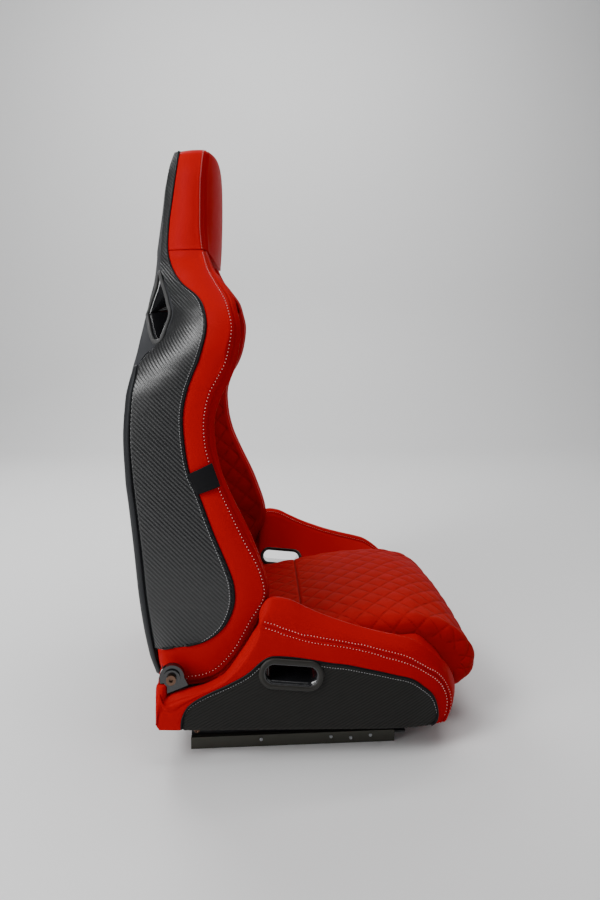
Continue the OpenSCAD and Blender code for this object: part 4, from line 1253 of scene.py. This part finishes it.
for side, flip in SIDES:
    mirror = np.array([1, flip, 1])
    weave = skin_with_back(base_skin * mirror, base_panel_n * mirror, base_weave_thick)
    piece = add("base_weave_" + side, weave, "seat_base", "woven_vinyl", mat_weave_base,
                "base_side_panel_" + side)
    open_lap(piece, flip)
    open_lap(bpy.data.objects["thigh_bolster_cover_" + side], flip)
    edge = base_panel[:, -1] + base_panel_n[:, -1] * 0.6
    add("base_piping_" + side, tube(edge * mirror, 2.1), "seat_base", "woven_vinyl", mat_piping)
    k = base_panel.shape[1] - 6
    a = base_panel[:, k] + base_panel_n[:, k] * 0.7
    line = stitches(a * mirror, base_panel_n[:, k] * mirror, pitch=4.2, length=2.2, radius=0.4)
    add("base_weave_stitches_" + side, line, "seat_base", "woven_vinyl", mat_thread_grey)
    for part, grow, proud, radius, sides, flat, material in (
            ("rim_", 5.8, 0.4, 4.5, 14, 0.68, mat_bezel), ("lip_", 2.2, 0.6, 2.0, 12, 0.8, mat_gloss)):
        ring = lap_outline(grow)
        path = np.stack([ring[:, 0], np.full(len(ring), flip * (base_half_w + proud)), ring[:, 1]], 1)
        bead = tube(path, radius, sides, closed=True, flat=flat)
        add("lap_opening_" + part + side, bead, "seat_base", "gloss_black_plastic", material)
    inner_face = thigh[:, thigh_marks[2]:thigh_marks[4] + 4].reshape(-1, 3)
    face_flat = np.stack([inner_face[:, 0],
                          inner_face[:, 2] - (base_half_w - inner_face[:, 1]) * math.tan(lap_rise)], 1)
    face_y = np.array([inner_face[np.argmin(np.linalg.norm(face_flat - q, axis=1)), 1] for q in ring])
    for _ in range(6):
        face_y = (np.roll(face_y, 1) + 2 * face_y + np.roll(face_y, -1)) / 4
    path = np.stack([ring[:, 0], flip * face_y, ring[:, 1] + (base_half_w - face_y) * math.tan(lap_rise)], 1)
    rim = tube(path, 3.4, 12, closed=True, flat=0.8)
    add("lap_inner_rim_" + side, rim, "seat_base", "gloss_black_plastic", mat_bezel)
    wall, outer = [], []
    for grow, rings in ((0.0, wall), (lap_wall, outer)):
        flat = lap_outline(grow)
        for d in np.linspace(0, 1, 10):
            y = mix(base_half_w + 0.4, face_y, d)
            z = flat[:, 1] + (base_half_w - y) * math.tan(lap_rise)
            rings.append(np.stack([flat[:, 0], flip * y, z], 1))
    add("lap_tunnel_" + side, walled(wall, outer), "seat_base", "gloss_black_plastic", mat_gloss,
        "lap_bezel_" + side)


def build_rear_wrap():
    """The wrapped rear wall of the base, round both corners."""
    corner = 10.0
    half = base_half_w - 6
    arc = [(-212 + corner * (1 - math.cos(a)), half - corner * (1 - math.sin(a)))
           for a in np.linspace(math.pi / 2, 0, 9)]
    straight = half - corner - 8
    plan = [(-200, half)] + arc + [(-212, y) for y in np.linspace(straight, -straight, 70)]
    plan += [(x, -y) for x, y in reversed(arc)] + [(-200, -half)]
    plan = np.array(plan)
    y = np.abs(plan[:, 1])
    top = np.interp(y, [0, 215, 240, 252, half], [88, 88, 104, 122, 124])
    rows = []
    for (x, yy), zt in zip(plan, top):
        prof = [(0, 57), (-1.5, 60), (-2.2, 66), (-2.4, mix(66, zt, 0.5)), (-1.8, zt - 6), (0.5, zt - 1),
                (3.5, zt), (5.5, zt - 3), (5.5, mix(66, zt, 0.5)), (4.5, 60), (3.5, 57)]
        along_y = min(1.0, abs(yy) / half)
        inward = np.array([1.0, 0.0]) if abs(yy) < half - corner else np.array([0.75, -0.66 * np.sign(yy)])
        rows.append([(x + d * inward[0], yy + d * inward[1] * along_y, z) for d, z in prof])
    return np.array(rows)


wrap = denser(build_rear_wrap(), 1, 3, closed=True)
add("base_rear_wrap", closed_loft(wrap), "seat_base", "red_leatherette", mat_red, "base_rear_cover")


# ---------------------------------------------------------------- label

def build_label():
    corners = np.array([(-164, 443), (-150, 411), (-115, 424), (-128, 460)], float)
    u = np.linspace(0, 1, 24)
    a = mix(corners[0], corners[3], u[:, None])
    b = mix(corners[1], corners[2], u[:, None])
    flat = between(a, b, len(u))
    y = side_y(flat[:, :, 0], flat[:, :, 1])
    p = np.stack([flat[:, :, 0], -(y + 4.5 + 1.5 * np.sin(u * math.pi)[:, None]), flat[:, :, 1]], 2)
    n_out = np.broadcast_to(np.array([0.0, -1.0, 0.0]), p.shape)
    return p, n_out


label, label_n = build_label()
add("bolster_label", skin_with_back(label, label_n, 1.2), "backrest", "woven_label", mat_label, "side_tag")


# ---------------------------------------------------------------- small parts of the rails

def round_head(at, radius, thick, axis):
    """A domed bolt head with a hexagon socket, its axis along +y or -y."""
    rings = [(0.0, 1.0), (0.55, 1.0), (0.85, 0.9), (1.0, 0.68), (1.0, 0.5), (0.45, 0.46), (0.42, 0.1)]
    ang = np.arange(24) * 2 * math.pi / 24
    half = math.pi / 6
    hexagon = math.cos(half) / np.cos((ang + half) % (2 * half) - half)
    rows = []
    for d, r in rings:
        k = hexagon if r < 0.6 else 1.0
        rows.append(np.stack([at[0] + radius * r * k * np.cos(ang), np.full(24, at[1] + axis * thick * d),
                              at[2] + radius * r * k * np.sin(ang)], 1))
    return closed_loft(np.array(rows))


def end_cap(x0, x1, y, z, half_w, half_h):
    """A rounded plug on the end of a rail."""
    ang = np.arange(48) * 2 * math.pi / 48
    c, s = np.cos(ang), np.sin(ang)
    shape = np.stack([np.sign(c) * np.abs(c) ** 0.35, np.sign(s) * np.abs(s) ** 0.35], 1)
    rows = []
    for d, k in ((0, 0.97), (0.05, 1.0), (0.6, 1.0), (0.64, 0.965), (0.70, 0.965), (0.74, 1.0), (0.9, 0.97),
                 (1, 0.86)):
        rows.append(np.stack([np.full(48, mix(x0, x1, d)), y + half_w * k * shape[:, 0],
                              z + half_h * k * shape[:, 1]], 1))
    return closed_loft(np.array(rows))


for side, flip in SIDES:
    plug = end_cap(166, 184.5, flip * 200, 29.3, 17.2, 10.8)
    add("rail_end_plug_" + side, plug, "seat_base", "black_nylon", mat_gloss)
    heads = joined([round_head((x, flip * 221.8, z), 2.6, 1.4, flip)
                    for x, z in ((-52, 11), (60, 11), (92, 8), (124, 11))])
    add("rail_screws_" + side, heads, "floor_rails", "zinc_steel", mat_zinc)
    head = round_head((-154, flip * 216.8, 27), 4.6, 3.0, flip)
    add("rail_rear_bolt_" + side, head, "seat_base", "zinc_steel", mat_bolt)


# ---------------------------------------------------------------- floor, light and camera

def stage():
    mat, tree, shader = new_material("pale_floor", (0.74, 0.74, 0.74), 0.6)
    v = object_coords(tree)
    tree.links.new(spread(tree, noise(tree, v, 3), 0.52, 0.68), shader.inputs["Roughness"])
    size, bend_start, radius, top = 6000, 2200, 900, 4500
    bend = [(-size, 0)] + [(bend_start + radius * math.sin(a), radius * (1 - math.cos(a)))
                           for a in np.linspace(0, math.pi / 2, 24)] + [(bend_start + radius, top)]
    verts = [(x, y, z - 0.4) for x in (-size, size) for y, z in bend]
    floor = link("studio_floor", verts, grid_faces(2, len(bend)))
    floor.data.materials.append(mat)


def area_light(name, at, target, size, power):
    data = bpy.data.lights.new(name, "AREA")
    data.shape = "RECTANGLE"
    data.size, data.size_y = size
    data.energy = power
    obj = bpy.data.objects.new(name, data)
    obj.location = at
    way = np.array(target) - np.array(at)
    yaw = math.atan2(way[1], way[0]) - math.pi / 2
    pitch = math.atan2(way[2], math.hypot(way[0], way[1])) + math.pi / 2
    obj.rotation_euler = (pitch, 0, yaw)
    bpy.context.scene.collection.objects.link(obj)


def camera():
    data = bpy.data.cameras.new("camera")
    data.sensor_fit = "VERTICAL"
    data.sensor_height = 36
    data.lens = 26.32
    data.shift_y = -0.14
    data.clip_start = 0.05
    obj = bpy.data.objects.new("camera", data)
    obj.location = (-0.0571, -1.275, 0.6744)
    obj.rotation_euler = (math.pi / 2, 0, -math.atan2(3, 47))
    bpy.context.scene.collection.objects.link(obj)
    bpy.context.scene.camera = obj


stage()
area_light("key", (-1.6, -1.3, 2.0), (-0.1, -0.1, 0.55), (1.0, 1.0), 46)
area_light("side", (-2.2, -1.5, 0.95), (-0.25, -0.2, 0.62), (0.5, 1.2), 30)
area_light("fill", (1.9, -1.9, 1.3), (0, 0, 0.4), (1.8, 1.8), 8)
area_light("rim", (-1.1, 1.5, 2.0), (-0.1, 0, 0.6), (1.0, 1.0), 26)
area_light("top", (0.5, -0.2, 2.6), (0.1, 0, 0.4), (1.4, 1.4), 24)
area_light("backdrop", (0.0, 1.0, 3.0), (0.0, 3.2, 0.9), (3.0, 1.0), 70)
world = bpy.data.worlds.new("studio")
world.use_nodes = True
world.node_tree.nodes["Background"].inputs["Color"].default_value = (0.75, 0.77, 0.8, 1)
world.node_tree.nodes["Background"].inputs["Strength"].default_value = 0.17
bpy.context.scene.world = world
camera()

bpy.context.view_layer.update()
